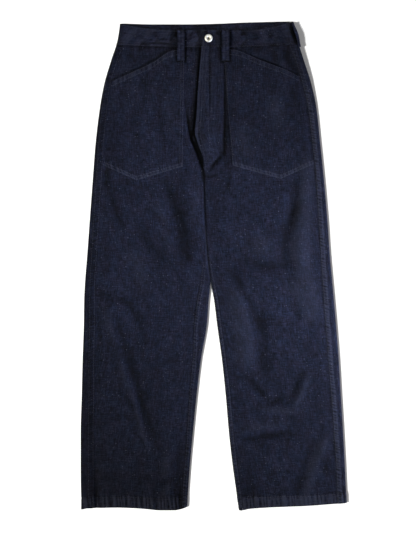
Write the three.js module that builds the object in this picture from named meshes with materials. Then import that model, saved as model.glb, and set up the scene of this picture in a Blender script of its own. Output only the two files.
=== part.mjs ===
// Straight-leg denim jeans with large patch pockets, laid flat on a table with the front up.
// Millimetres. X runs across the garment, towards the wearer's left. Y runs up to the waist. Z is up from the
// table, and the origin is on the table, under the middle of the garment. Left and right are the wearer's.
import * as THREE from "three";

// Cloth
const CLOTH = 1.2; // one layer of denim
const BAND_CLOTH = 2.4; // the waistband is two layers with its turnings inside
const LOOP_CLOTH = 1.8; // a belt loop is folded in three and pressed
const HEM_CLOTH = 2.4; // the leg ends are turned up twice
const SEAM_GAP = 0.3; // pieces that are sewn together lie this far apart

// Lengths along the garment
const WAIST_SEAM = 480;
const WAIST_DIP = 5; // the waist seam of the front is this much lower in its middle
const BACK_SEAM = 484; // the back is cut a little higher than the front
const CROTCH = 198;
const FORK = -39; // the legs lie against each other from the crotch down to here
const HEM_END = -522;
const HEM_DEPTH = 24;
const HEM_RISE = 1.2; // the turned-up end stands this far out of the front
const HEM_STEP = 3; // and reaches its full thickness over this length
const BACK_HEM_SHORT = 2; // the back ends this far above the front
const END_LEAN = 60; // rows this near to an end of the cloth lean towards its line

// The cloth turns from the front to the back over half an ellipse
const ROLL = 5; // half its width
const INNER_EDGE_HEIGHT = 7.4;
const OUTER_RISE = 46; // the cloth goes from its edge height to its loft over this width
const INNER_RISE = 34;

// The back lies on the table, and is held off it at the waist by the loops under the band
const BAND_CLEARANCE = 2.8;
const LIFT_START = 330;
const LIFT_LENGTH = 130;
const CORNER_LIFT = 6; // the left end of the waist stands higher
const CORNER = { x: 40, width: 125, y: 350, length: 140 };

// The fly
const FLY_LAP = 12; // the left front laps this far over the right front
const FLY_STEP = 2; // and lies this far above it
const FLY_LAP_START = 218;
const FLY_LAP_FULL = 258;
const FLY_FADE = 34;
const SHIELD = { width: 40, overhang: 5, top: 473, bottom: 345, depth: 0.8 };

// The waistband
const BAND_RISE = 0.7; // its face stands this far out of the fronts
const BAND_LAP_END = -24.4; // the left end, lapped over the right one
const BAND_UNDERLAP_END = 12;
const BAND_STEP = 3.1;
const BAND_FADE = 30;

// The belt loops
const LOOP_WIDTH = 17.5;
const LOOP_BOTTOM = 446;
const LOOP_BOW = 1.6;
const FRONT_LOOPS = { left: 25.8, right: -71.2 };
const BACK_LOOPS = { center: -18, right: -186 };
const SIDE_LOOP = { bottom: 475, top: 528, span: 10.5, bow: 3.2, seat: 1.1 }; // span is its reach over the band

// The button
const BUTTON = { x: -11.1, y: 494, radius: 8.6, height: 3.8, hole: 3.2, floor: 1.1, tack: 1.9, tackTop: 2.4 };

// Sections of the two legs. outer and inner are the places of the outline. edge is the height of the front where
// it starts to roll over the outer edge. outseam and inseam are how far in from the outer and inner edges the
// seams lie, measured over the cloth. Above the crotch, inner is the centre back seam. split is the place of the
// column that follows the fly side of the pocket. Heights of the front are counted from the underside of the back.
const LEFT_SECTIONS = [
  { y: 530, outer: 169, inner: -17.7, edge: 8.8, outseam: 22, inseam: 0, split: 20 },
  { y: 505, outer: 175.5, inner: -17.7, edge: 8.8, outseam: 22, inseam: 0, split: 20 },
  { y: 480, outer: 184, inner: -17.7, edge: 8.6, outseam: 21, inseam: 0, split: 20.5 },
  { y: 449, outer: 194.5, inner: -18.2, edge: 8.4, outseam: 21, inseam: 0, split: 22 },
  { y: 397, outer: 212, inner: -19.2, edge: 8.2, outseam: 22, inseam: 0, split: 26 },
  { y: 345, outer: 223.5, inner: -19.7, edge: 8, outseam: 21, inseam: 0, split: 30 },
  { y: 266, outer: 232, inner: -20.7, edge: 7.8, outseam: 20, inseam: 0, split: 37 },
  { y: 198, outer: 239, inner: -21.5, edge: 7.7, outseam: 20, inseam: 0, split: 43 },
  { y: 100, outer: 247.6, inner: -19.3, edge: 7.6, outseam: 22, inseam: 2, split: 58 },
  { y: 22, outer: 253, inner: -13.9, edge: 7.5, outseam: 23, inseam: 7, split: 70 },
  { y: -39, outer: 258.5, inner: -6.1, edge: 7.5, outseam: 24, inseam: 11, split: 80 },
  { y: -74, outer: 261.7, inner: 0.7, edge: 7.5, outseam: 25, inseam: 11, split: 86 },
  { y: -126, outer: 266.2, inner: 7.2, edge: 7.5, outseam: 26, inseam: 11, split: 93 },
  { y: -205, outer: 272.3, inner: 18.1, edge: 7.5, outseam: 26, inseam: 11, split: 103 },
  { y: -283, outer: 276.9, inner: 26.3, edge: 7.5, outseam: 24, inseam: 12, split: 112 },
  { y: -362, outer: 281.7, inner: 33.1, edge: 7.5, outseam: 23, inseam: 12, split: 118 },
  { y: -440, outer: 285.8, inner: 42, edge: 7.5, outseam: 22, inseam: 12, split: 124 },
  { y: -522, outer: 289.5, inner: 54.5, edge: 7.5, outseam: 22, inseam: 12, split: 132 },
];
const RIGHT_SECTIONS = [
  { y: 530, outer: -204.5, inner: -18, edge: 8.6, outseam: 18, inseam: 0, split: -65 },
  { y: 505, outer: -207.5, inner: -18, edge: 8.6, outseam: 18, inseam: 0, split: -65 },
  { y: 480, outer: -211.5, inner: -18, edge: 8.4, outseam: 18, inseam: 0, split: -64 },
  { y: 449, outer: -222, inner: -18.5, edge: 8.2, outseam: 17, inseam: 0, split: -63.5 },
  { y: 397, outer: -237.8, inner: -19.5, edge: 8, outseam: 17, inseam: 0, split: -64 },
  { y: 345, outer: -247.6, inner: -20, edge: 7.8, outseam: 19, inseam: 0, split: -65 },
  { y: 266, outer: -257.2, inner: -21, edge: 7.7, outseam: 21, inseam: 0, split: -66 },
  { y: 198, outer: -262.5, inner: -21.8, edge: 7.6, outseam: 22, inseam: 0, split: -67 },
  { y: 100, outer: -269.8, inner: -19.6, edge: 7.6, outseam: 23, inseam: 2, split: -84 },
  { y: 22, outer: -275.5, inner: -14.2, edge: 7.5, outseam: 24, inseam: 10, split: -93 },
  { y: -39, outer: -280.3, inner: -7.4, edge: 7.5, outseam: 25, inseam: 24, split: -100 },
  { y: -74, outer: -282, inner: -10.7, edge: 7.5, outseam: 26, inseam: 27, split: -104 },
  { y: -126, outer: -282.7, inner: -14.6, edge: 7.5, outseam: 27, inseam: 30, split: -110 },
  { y: -205, outer: -285.4, inner: -27.9, edge: 7.5, outseam: 28, inseam: 20, split: -114 },
  { y: -283, outer: -287.3, inner: -37.2, edge: 7.5, outseam: 30, inseam: 18, split: -119 },
  { y: -362, outer: -289.5, inner: -45.1, edge: 7.5, outseam: 31, inseam: 15, split: -124 },
  { y: -440, outer: -289.5, inner: -52.1, edge: 7.5, outseam: 31, inseam: 14, split: -128 },
  { y: -522, outer: -288.5, inner: -57.8, edge: 7.5, outseam: 30, inseam: 14, split: -132 },
];

// How high the front lies away from the edges: the panels lie on each other, with air in the folds
const LOFT = [
  { y: 530, height: 6.4 },
  { y: 480, height: 6.1 },
  { y: 198, height: 6 },
  { y: -522, height: 5.8 },
];

// Where the left front's edge runs over the right front, from the waist seam to the crotch
const FLY_EDGE = [
  { y: 480, x: -26.2 },
  { y: 450, x: -28.3 },
  { y: 417, x: -31 },
  { y: 377, x: -33.8 },
  { y: 323, x: -37.3 },
  { y: 290, x: -40.5 },
  { y: 260, x: -32 },
  { y: 231, x: -24.8 },
  { y: 198, x: -21.6 },
];

// The upper edges of the waistband
const BAND_FRONT_TOP = [
  { x: -205, y: 526 },
  { x: -162, y: 518.6 },
  { x: -133, y: 515 },
  { x: -83, y: 512 },
  { x: -24, y: 512.6 },
  { x: 70, y: 511.8 },
  { x: 102, y: 513.4 },
  { x: 134, y: 520 },
  { x: 170, y: 528 },
];
const BAND_BACK_TOP = [
  { x: -205, y: 527 },
  { x: -133, y: 525 },
  { x: -61, y: 525 },
  { x: 11, y: 526.5 },
  { x: 62, y: 528.7 },
  { x: 170, y: 530 },
];

// The leg ends
const LEFT_HEM_LINE = [
  { x: 54, y: -530 },
  { x: 74, y: -525.6 },
  { x: 115, y: -523.6 },
  { x: 209, y: -519.5 },
  { x: 251, y: -516.4 },
  { x: 290, y: -514.5 },
];
const RIGHT_HEM_LINE = [
  { x: -289, y: -529 },
  { x: -275, y: -525.6 },
  { x: -210, y: -523.6 },
  { x: -147, y: -526.7 },
  { x: -116, y: -530 },
  { x: -84, y: -530 },
  { x: -58, y: -522.5 },
];

// The largest folds of the fronts: a soft ridge, or a trough where the height is negative, along a straight line
const FOLDS = [
  { x0: -100, y0: 175, x1: -42, y1: 35, width: 20, height: -2.4 }, // right thigh, running in to the fork
  { x0: -50, y0: 250, x1: -42, y1: 320, width: 14, height: -1.4 }, // beside the fly
  { x0: 8, y0: 285, x1: -6, y1: 222, width: 14, height: -2 }, // from the pocket down to the crotch
  { x0: -24, y0: 345, x1: -14, y1: 250, width: 16, height: 2 }, // the foot of the fly stands up
  { x0: 176, y0: 150, x1: 160, y1: 78, width: 17, height: -2.2 }, // left thigh, under the pocket
  { x0: 70, y0: -20, x1: 150, y1: -75, width: 24, height: 1.8 },
  { x0: 58, y0: -240, x1: 100, y1: -292, width: 17, height: -2.2 }, // left knee
  { x0: 140, y0: -280, x1: 190, y1: -322, width: 20, height: 2 },
  { x0: 75, y0: -372, x1: 170, y1: -360, width: 18, height: -2.2 }, // left shin
  { x0: 228, y0: -360, x1: 190, y1: -470, width: 16, height: -2.2 },
  { x0: -190, y0: -60, x1: -140, y1: -290, width: 24, height: -2 }, // right shin, running down the leg
  { x0: -150, y0: -180, x1: -105, y1: -420, width: 24, height: 1.8 },
  { x0: -225, y0: -70, x1: -215, y1: -200, width: 22, height: 1.6 },
];
const FOLD_FADE = 30; // a fold dies away over this length at each end

// Patch pockets: the mouth and the bottom, by the share of the way from the fly side to the outseam
const LEFT_POCKET = {
  mouth: [
    { share: 0, y: 472 },
    { share: 0.16, y: 470 },
    { share: 0.5, y: 448 },
    { share: 0.8, y: 428 },
    { share: 1, y: 411 },
  ],
  bottom: [
    { share: 0, y: 218 },
    { share: 4 / 7, y: 189 },
    { share: 1, y: 222 },
  ],
};
const RIGHT_POCKET = {
  mouth: [
    { share: 0, y: 472 },
    { share: 0.2, y: 468 },
    { share: 0.5, y: 440 },
    { share: 0.8, y: 417 },
    { share: 1, y: 401 },
  ],
  bottom: [
    { share: 0, y: 216 },
    { share: 4 / 7, y: 186 },
    { share: 1, y: 219 },
  ],
};
const POCKET_MOUTH_LIFT = 0.9; // the mouth stands a little open

// How finely the solids are faceted
const BODY_ROWS = 18;
const LEG_ROWS = 16;
const ARC_POINTS = 12;
const FLAT_POINTS = 60;
const CELLS = { edge: 2, centre: 4, pocket: 7, outseam: 2, outerRoll: 5, floor: 4, innerRoll: 3, inseam: 7 };
const POCKET_ROWS = 9;
const LOOP_CELLS = { along: 8, across: 2 };
const SHIELD_CELLS = { along: 9, across: 3 };
const BUTTON_SIDES = 24;

// Eases from 0 to 1, level at both ends.
function ease(t) {
  const s = Math.min(1, Math.max(0, t));
  return s * s * (3 - 2 * s);
}

function mix(a, b, t) {
  return a + (b - a) * t;
}

// Evenly spaced values, count steps from a to b.
function steps(a, b, count) {
  return Array.from({ length: count + 1 }, (_, i) => mix(a, b, i / count));
}

// A smooth curve through one column of a table, level at a peak, that never overshoots a row.
function through(table, from, to) {
  const rows = [...table].sort((a, b) => a[from] - b[from]);
  const at = rows.map((row) => row[from]);
  const value = rows.map((row) => row[to]);
  const rise = at.slice(1).map((place, i) => (value[i + 1] - value[i]) / (place - at[i]));
  const slope = at.map((_, i) => {
    if (i === 0) return rise[0];
    if (i === rise.length) return rise[i - 1];
    const product = rise[i - 1] * rise[i];
    return product <= 0 ? 0 : (2 * product) / (rise[i - 1] + rise[i]);
  });
  return (place) => {
    const inside = Math.min(at[at.length - 1], Math.max(at[0], place));
    let i = 0;
    while (i < at.length - 2 && inside > at[i + 1]) i += 1;
    const step = at[i + 1] - at[i];
    const t = (inside - at[i]) / step;
    const near = (1 + 2 * t) * (1 - t) ** 2 * value[i] + t * (1 - t) ** 2 * step * slope[i];
    const far = t * t * (3 - 2 * t) * value[i + 1] - t * t * (1 - t) * step * slope[i + 1];
    return near + far;
  };
}

const loftAt = through(LOFT, "y", "height");
const flyEdgeAt = through(FLY_EDGE, "y", "x");
const bandFrontTopAt = through(BAND_FRONT_TOP, "x", "y");
const bandBackTopAt = through(BAND_BACK_TOP, "x", "y");

// A side of the garment. out is +1 where its outer edge is towards +X.
function makeSide(name, out, sections, hemLine) {
  const column = (key) => through(sections, "y", key);
  return {
    name,
    out,
    outer: column("outer"),
    inner: column("inner"),
    edge: column("edge"),
    outseam: column("outseam"),
    inseam: column("inseam"),
    split: column("split"),
    hem: through(hemLine, "x", "y"),
  };
}
const LEFT = makeSide("left", 1, LEFT_SECTIONS, LEFT_HEM_LINE);
const RIGHT = makeSide("right", -1, RIGHT_SECTIONS, RIGHT_HEM_LINE);

// The right leg's inner edge stays clear of the left one's.
const rightInnerAsCut = RIGHT.inner;
RIGHT.inner = (y) => Math.min(rightInnerAsCut(y), LEFT.inner(y) - SEAM_GAP);

// The waist seam of the front, lowest in its middle.
function frontSeamAt(x) {
  const middle = (LEFT.outer(WAIST_SEAM) + RIGHT.outer(WAIST_SEAM)) / 2;
  const reach = (LEFT.outer(WAIST_SEAM) - RIGHT.outer(WAIST_SEAM)) / 2;
  return WAIST_SEAM - WAIST_DIP * (1 - ((x - middle) / reach) ** 2);
}

// 1 on the legs and 0 above the crotch, where the two sides are one tube.
function legShare(y) {
  return 1 - ease((y - CROTCH) / (FLY_LAP_START - CROTCH));
}

// 1 on the turned-up leg end and 0 above it.
function hemShare(y) {
  return ease((HEM_END + HEM_DEPTH - y) / HEM_STEP + 1);
}

// Height of all folds at a place on the front.
function foldHeight(x, y) {
  return FOLDS.reduce((sum, fold) => {
    const length = Math.hypot(fold.x1 - fold.x0, fold.y1 - fold.y0);
    const [ux, uy] = [(fold.x1 - fold.x0) / length, (fold.y1 - fold.y0) / length];
    const along = (x - fold.x0) * ux + (y - fold.y0) * uy;
    const aside = (y - fold.y0) * ux - (x - fold.x0) * uy;
    const start = ease((along + FOLD_FADE) / (2 * FOLD_FADE));
    const end = ease((length + FOLD_FADE - along) / (2 * FOLD_FADE));
    return sum + fold.height * start * end * Math.exp(-((aside / fold.width) ** 2));
  }, 0);
}

// How far a front or the waistband is lifted where the left one laps over the right one.
function flyLift(side, x, y) {
  if (side !== LEFT) return 0;
  const past = x - flyEdgeAt(y) - FLY_LAP - 4;
  return FLY_STEP * ease((y - CROTCH) / (FLY_LAP_START - CROTCH)) * (1 - ease(past / FLY_FADE));
}
function bandLift(side, x) {
  if (side !== LEFT) return 0;
  return BAND_STEP * (1 - ease((x - BAND_UNDERLAP_END - 4) / BAND_FADE));
}

// Height of the outer face of the front above the table, before any lift at the fly.
function frontHeight(side, x, y) {
  const fromOuter = (side.outer(y) - x) * side.out - ROLL;
  const fromInner = (x - side.inner(y)) * side.out - ROLL;
  const outerShare = ease(fromOuter / OUTER_RISE);
  const innerShare = mix(1, ease(fromInner / INNER_RISE), legShare(y));
  const folded = mix(side.edge(y), loftAt(y), outerShare) + foldHeight(x, y) * outerShare;
  return backHeight(x, y) + mix(INNER_EDGE_HEIGHT, folded, innerShare) + HEM_RISE * hemShare(y);
}

// Height of the outer face of the back: on the table, and lifted at the waist, most at the left end.
function backHeight(x, y) {
  const band = BAND_CLEARANCE * ease((y - LIFT_START) / LIFT_LENGTH);
  const corner = ease((x - CORNER.x) / CORNER.width) * ease((y - CORNER.y) / CORNER.length);
  return band + CORNER_LIFT * corner;
}

// A quarter of an ellipse in from an edge, as points that go from its tip to where the cloth lies flat. front is
// 1 on the front, 0 on the back, and one half at the tip of a rolled edge.
function quarterRoll(tipX, inward, tipZ, flatZ, tipFront, front) {
  return steps(0, 1, ARC_POINTS)
    .slice(0, -1)
    .map((turn) => {
      const angle = turn * (Math.PI / 2);
      const x = tipX + inward * ROLL * (1 - Math.cos(angle));
      return { x, z: mix(tipZ, flatZ, Math.sin(angle)), front: mix(tipFront, front, turn) };
    });
}

// The ring that the cloth makes at a height y. It runs from the inner end over the front to the outer edge, under
// the back to the inner edge, and on a leg up over the front again. The named distances along it are where the
// rolls start and end.
function ringAt(side, y, topInner, liftAt) {
  const [outer, inner, leg] = [side.outer(y), side.inner(y), legShare(y)];
  const outerFlat = outer - side.out * ROLL;
  const innerFlat = inner + side.out * ROLL;
  const topFlat = topInner + side.out * ROLL;
  const topAt = (x) => frontHeight(side, x, y) + liftAt(side, x, y);
  const outerTip = (topAt(outerFlat) + backHeight(outerFlat, y)) / 2;
  const innerTip = INNER_EDGE_HEIGHT / 2;
  const startTip = mix(topAt(topFlat), innerTip, leg);
  const endTip = mix(backHeight(inner, y), innerTip, leg);
  const startRoll = quarterRoll(topInner, side.out, startTip, topAt(topFlat), mix(1, 0.5, leg), 1);
  const topRoll = quarterRoll(outer, -side.out, outerTip, topAt(outerFlat), 0.5, 1).reverse();
  const underRoll = quarterRoll(outer, -side.out, outerTip, backHeight(outerFlat, y), 0.5, 0);
  const endRoll = quarterRoll(inner, side.out, endTip, backHeight(innerFlat, y), mix(0, 0.5, leg), 0).reverse();
  const flatTop = steps(topFlat, outerFlat, FLAT_POINTS).map((x) => ({ x, z: topAt(x), front: 1 }));
  const flatUnder = steps(outerFlat, innerFlat, FLAT_POINTS).map((x) => ({ x, z: backHeight(x, y), front: 0 }));
  const again = [...startRoll, ...flatTop.slice(0, Math.ceil(FLAT_POINTS / 2))].slice(1);
  const points = [...startRoll, ...flatTop, ...topRoll, ...underRoll.slice(1), ...flatUnder, ...endRoll, ...again];
  const travel = [0];
  for (let i = 1; i < points.length; i += 1) {
    travel.push(travel[i - 1] + Math.hypot(points[i].x - points[i - 1].x, points[i].z - points[i - 1].z));
  }
  const rollStart = startRoll.length + flatTop.length - 1;
  const tip = rollStart + topRoll.length;
  const rollEnd = tip + underRoll.length;
  const floorEnd = rollEnd + flatUnder.length - 1;
  const end = floorEnd + endRoll.length;
  return {
    points,
    travel,
    rollStart: travel[rollStart],
    tip: travel[tip],
    rollEnd: travel[rollEnd],
    floorEnd: travel[floorEnd],
    end: travel[end],
  };
}

// The place at a distance along a ring.
function along(ring, distance) {
  const last = ring.travel.length - 1;
  const d = Math.min(ring.travel[last], Math.max(0, distance));
  let i = 0;
  while (i < last - 1 && ring.travel[i + 1] < d) i += 1;
  const t = (d - ring.travel[i]) / (ring.travel[i + 1] - ring.travel[i]);
  const [a, b] = [ring.points[i], ring.points[i + 1]];
  return { x: mix(a.x, b.x, t), z: mix(a.z, b.z, t), front: mix(a.front, b.front, t) };
}

// The same place, moved outwards across the cloth by an amount.
function outwards(side, ring, distance, amount) {
  const reach = 0.4;
  const place = along(ring, distance);
  const [a, b] = [along(ring, distance - reach), along(ring, distance + reach)];
  const size = Math.hypot(b.x - a.x, b.z - a.z);
  const normalX = (-side.out * (b.z - a.z)) / size;
  const normalZ = (side.out * (b.x - a.x)) / size;
  return { x: place.x + normalX * amount, z: place.z + normalZ * amount, front: place.front };
}

// The distance along a ring at which the front has reached a place x.
function distanceAt(side, ring, x) {
  const i = ring.points.findIndex((point) => (point.x - x) * side.out >= 0);
  const [a, b] = [ring.points[i - 1], ring.points[i]];
  return mix(ring.travel[i - 1], ring.travel[i], (x - a.x) / (b.x - a.x));
}

// Where a front starts, at its fly edge, or at the crotch and below it at the inner edge.
function frontStart(side, y) {
  const lapped = flyEdgeAt(y) + (side === RIGHT ? FLY_LAP : 0);
  return mix(side.inner(y), lapped, ease((y - FLY_LAP_START) / (FLY_LAP_FULL - FLY_LAP_START)));
}

// The ends of the cloth aren't square to its length, so rows near them lean to their lines.
function leanedY(side, place, y) {
  const waist = ease((y - WAIST_SEAM + END_LEAN) / END_LEAN);
  const hem = ease((HEM_END + END_LEAN - y) / END_LEAN);
  const waistShift = mix(BACK_SEAM, frontSeamAt(place.x), place.front) - WAIST_SEAM;
  const hemShift = side.hem(place.x) + BACK_HEM_SHORT * (1 - place.front) - HEM_END;
  return y + waist * waistShift + hem * hemShift;
}

function thicknessAt(y) {
  return mix(CLOTH, HEM_CLOTH, hemShare(y));
}

// Distances along a ring: cells steps over each stretch between the given stops.
function stations(stops) {
  return stops.slice(1).flatMap(({ to, cells }, i) => steps(stops[i].to, to, cells).slice(i === 0 ? 0 : 1));
}

function frontStations(side, ring, y) {
  const start = (side.inseam(y) + SEAM_GAP / 2) * legShare(y);
  return stations([
    { to: start },
    { to: start + 8, cells: CELLS.edge },
    { to: distanceAt(side, ring, side.split(y)), cells: CELLS.centre },
    { to: ring.tip - side.outseam(y) - SEAM_GAP / 2, cells: CELLS.pocket },
  ]);
}

function backStations(side, ring, y) {
  return stations([
    { to: ring.tip - side.outseam(y) + SEAM_GAP / 2 },
    { to: ring.rollStart, cells: CELLS.outseam },
    { to: ring.rollEnd, cells: CELLS.outerRoll },
    { to: ring.floorEnd, cells: CELLS.floor },
    { to: ring.end + (side.inseam(y) - SEAM_GAP / 2) * legShare(y), cells: CELLS.inseam },
  ]);
}

// The heights of the rows, closer together above the crotch, with a pair where the hem starts.
const HEM_START = HEM_END + HEM_DEPTH;
const ROWS = [
  ...steps(WAIST_SEAM, CROTCH, BODY_ROWS),
  ...steps(CROTCH, HEM_START + HEM_STEP, LEG_ROWS).slice(1),
  HEM_START,
  HEM_END,
];

// A closed wall between two grids of points, rows by columns, with faces round its four rims.
function wall(outer, inner) {
  const [rows, columns] = [outer.length, outer[0].length];
  const positions = [...outer.flat(), ...inner.flat()].flat();
  const id = (layer, r, c) => layer * rows * columns + r * columns + c;
  const faces = [];
  const quad = (a, b, c, d) => faces.push(a, b, c, a, c, d);
  for (let r = 0; r < rows - 1; r += 1) {
    for (let c = 0; c < columns - 1; c += 1) {
      quad(id(0, r, c), id(0, r + 1, c), id(0, r + 1, c + 1), id(0, r, c + 1));
      quad(id(1, r, c), id(1, r, c + 1), id(1, r + 1, c + 1), id(1, r + 1, c));
    }
  }
  for (let c = 0; c < columns - 1; c += 1) {
    const last = rows - 1;
    quad(id(0, 0, c), id(0, 0, c + 1), id(1, 0, c + 1), id(1, 0, c));
    quad(id(0, last, c), id(1, last, c), id(1, last, c + 1), id(0, last, c + 1));
  }
  for (let r = 0; r < rows - 1; r += 1) {
    const last = columns - 1;
    quad(id(0, r, 0), id(1, r, 0), id(1, r + 1, 0), id(0, r + 1, 0));
    quad(id(0, r, last), id(0, r + 1, last), id(1, r + 1, last), id(1, r, last));
  }
  const geometry = new THREE.BufferGeometry();
  geometry.setAttribute("position", new THREE.Float32BufferAttribute(positions, 3));
  geometry.setIndex(facingOut(positions, faces));
  geometry.computeVertexNormals();
  return geometry;
}

// The faces, turned over if they enclose their solid from the wrong side.
function facingOut(positions, faces) {
  const corner = (i) => new THREE.Vector3().fromArray(positions, 3 * i);
  let volume = 0;
  for (let i = 0; i < faces.length; i += 3) {
    volume += corner(faces[i]).dot(corner(faces[i + 1]).cross(corner(faces[i + 2])));
  }
  return volume > 0 ? faces : faces.reverse();
}

// A panel of one side: its ring at each row, read at the stations and given a thickness inwards.
function panel(side, stationsOf, startOf) {
  const rings = ROWS.map((y) => ringAt(side, y, startOf(side, y), flyLift));
  const grid = (depth) =>
    ROWS.map((y, i) =>
      stationsOf(side, rings[i], y).map((distance) => {
        const face = along(rings[i], distance);
        const place = outwards(side, rings[i], distance, -depth * thicknessAt(y));
        return [place.x, leanedY(side, face, y), place.z];
      }),
    );
  return wall(grid(0), grid(1));
}

function makeFront(side) {
  return panel(side, frontStations, frontStart);
}

function makeBack(side) {
  return panel(side, backStations, (leg, y) => leg.inner(y));
}

// A patch pocket, made from the front's own columns between its split and the outseam, moved outwards.
function makePocket(side, shape) {
  const mouthAt = through(shape.mouth, "share", "y");
  const bottomAt = (share) => {
    const tip = shape.bottom[1];
    const [from, to] = share < tip.share ? [shape.bottom[0], tip] : [tip, shape.bottom[2]];
    return mix(from.y, to.y, (share - from.share) / (to.share - from.share));
  };
  const grid = (height) =>
    steps(0, 1, POCKET_ROWS).map((down) =>
      steps(0, 1, CELLS.pocket).map((share) => {
        const y = mix(mouthAt(share), bottomAt(share), down);
        const ring = ringAt(side, y, frontStart(side, y), flyLift);
        const near = distanceAt(side, ring, side.split(y));
        const far = ring.tip - side.outseam(y) - SEAM_GAP / 2;
        const open = POCKET_MOUTH_LIFT * (1 - ease(down * 5)) * Math.sin(Math.PI * share);
        const place = along(ring, mix(near, far, share));
        return [place.x, y, place.z + SEAM_GAP + open + height];
      }),
    );
  return wall(grid(CLOTH), grid(0));
}

// The waistband: one strip, from the end lapped over the button round the back to the end beneath it.
function makeWaistband() {
  const bandRow = (side, startX, share) => {
    const y = mix(WAIST_SEAM, BAND_BACK_TOP[BAND_BACK_TOP.length - 1].y, share);
    const ring = ringAt(side, y, startX, bandLift);
    const stops = stations([
      { to: 0 },
      { to: distanceAt(side, ring, side.split(y)), cells: CELLS.edge + CELLS.centre },
      { to: ring.tip - side.outseam(y), cells: CELLS.pocket },
      { to: ring.rollStart, cells: CELLS.outseam },
      { to: ring.rollEnd, cells: CELLS.outerRoll },
      { to: ring.floorEnd, cells: CELLS.floor },
      { to: ring.end, cells: CELLS.innerRoll },
    ]);
    return (depth) =>
      stops.map((distance) => {
        const face = along(ring, distance);
        const place = outwards(side, ring, distance, BAND_RISE - depth);
        const frontY = mix(frontSeamAt(face.x) + SEAM_GAP, bandFrontTopAt(face.x), share);
        const backY = mix(BACK_SEAM + SEAM_GAP, bandBackTopAt(face.x), share);
        return [place.x, mix(backY, frontY, face.front), place.z];
      });
  };
  const grid = (depth) =>
    steps(0, 1, 2).map((share) => {
      const leftPart = bandRow(LEFT, BAND_LAP_END, share)(depth);
      const rightPart = bandRow(RIGHT, BAND_UNDERLAP_END, share)(depth);
      return [...leftPart, ...rightPart.reverse()];
    });
  return wall(grid(0), grid(BAND_CLOTH));
}

// The strip behind the fly, under both fronts.
function makeShield() {
  const grid = (depth) =>
    steps(SHIELD.top, SHIELD.bottom, SHIELD_CELLS.along).map((y) =>
      steps(0, 1, SHIELD_CELLS.across).map((share) => {
        const x = flyEdgeAt(y) - SHIELD.overhang + SHIELD.width * share;
        return [x, y, frontHeight(RIGHT, x, y) - CLOTH - SHIELD.depth - depth];
      }),
    );
  return wall(grid(0), grid(CLOTH));
}

// A belt loop on the front: sewn down over the top of the band and below it, and bowed out between.
function makeFrontLoop(side, centreX) {
  const top = bandFrontTopAt(centreX);
  const underside = (x, y) => {
    const onBand = frontHeight(side, x, y) + bandLift(side, x) + BAND_RISE;
    const onPocket = frontHeight(side, x, y) + flyLift(side, x, y) + SEAM_GAP + CLOTH;
    return Math.max(onBand, onPocket) + SEAM_GAP;
  };
  const grid = (height) =>
    steps(0, 1, LOOP_CELLS.along).map((down) => {
      const y = mix(top, LOOP_BOTTOM, down);
      const seat = Math.max(...steps(-0.5, 0.5, 4).map((share) => underside(centreX + share * LOOP_WIDTH, y)));
      const z = seat + LOOP_BOW * Math.sin(Math.PI * down) ** 2 + height;
      return steps(-0.5, 0.5, LOOP_CELLS.across).map((share) => [centreX + share * LOOP_WIDTH, y, z]);
    });
  return wall(grid(LOOP_CLOTH), grid(0));
}

// A belt loop under the back of the band, flat on the table.
function makeBackLoop(centreX) {
  const top = bandBackTopAt(centreX);
  const grid = (z) =>
    steps(top, top - 62, LOOP_CELLS.along).map((y) =>
      steps(-0.5, 0.5, LOOP_CELLS.across).map((share) => [centreX + share * LOOP_WIDTH, y, z]),
    );
  return wall(grid(LOOP_CLOTH), grid(0));
}

// The belt loop at the left end of the waist, wrapped round the outer edge.
function makeSideLoop() {
  const grid = (height) =>
    steps(0, 1, LOOP_CELLS.along).map((down) => {
      const y = mix(SIDE_LOOP.top, SIDE_LOOP.bottom, down);
      const ring = ringAt(LEFT, y, BAND_LAP_END, bandLift);
      const bow = SIDE_LOOP.bow * Math.sin(Math.PI * down) ** 2;
      return steps(-0.5, 0.5, 6).map((share) => {
        const distance = ring.tip + share * SIDE_LOOP.span;
        const place = outwards(LEFT, ring, distance, BAND_RISE + SIDE_LOOP.seat + bow + height);
        return [place.x, y, place.z];
      });
    });
  return wall(grid(LOOP_CLOTH), grid(0));
}

// A round piece of the button, from its profile of distances from the axis and heights.
function turned(profile, seatZ) {
  const points = profile.map(([radius, height]) => new THREE.Vector2(radius, height));
  const geometry = new THREE.LatheGeometry(points, BUTTON_SIDES);
  geometry.rotateX(Math.PI / 2);
  geometry.translate(BUTTON.x, BUTTON.y, seatZ);
  return geometry;
}

const bandUnderButton = steps(-1, 1, 2).map((share) => frontHeight(LEFT, BUTTON.x, BUTTON.y + share * BUTTON.radius));
const buttonSeat = Math.max(...bandUnderButton) + BAND_RISE + BAND_STEP + SEAM_GAP;

// The button: a domed ring round a sunk floor.
function makeButton() {
  const { radius, height, hole, floor } = BUTTON;
  const middle = (radius + hole) / 2;
  const dome = steps(0, Math.PI, 8).map((angle) => [
    middle + ((radius - hole) / 2) * Math.cos(angle),
    floor + (height - floor) * Math.sin(angle),
  ]);
  return turned([[0, 0], [radius - 1, 0], [radius, 0.5], ...dome, [0, floor]], buttonSeat);
}

// The tack that holds it, in its middle.
function makeTack() {
  const { tack, floor, tackTop } = BUTTON;
  const top = tackTop - floor - SEAM_GAP;
  return turned([[0, 0], [tack, 0], [tack, top - 0.5], [tack - 0.5, top], [0, top]], buttonSeat + floor + SEAM_GAP);
}

// Finish
const DENIM = { color: 0x23263a, roughness: 0.92, metalness: 0 };
const DENIM_BAND = { color: 0x20222f, roughness: 0.92, metalness: 0 };
const SILVER = { color: 0xc9c9c4, roughness: 0.28, metalness: 1 };
const DARK_METAL = { color: 0x3a3a3c, roughness: 0.4, metalness: 1 };

const garment = new THREE.Group();

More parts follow.
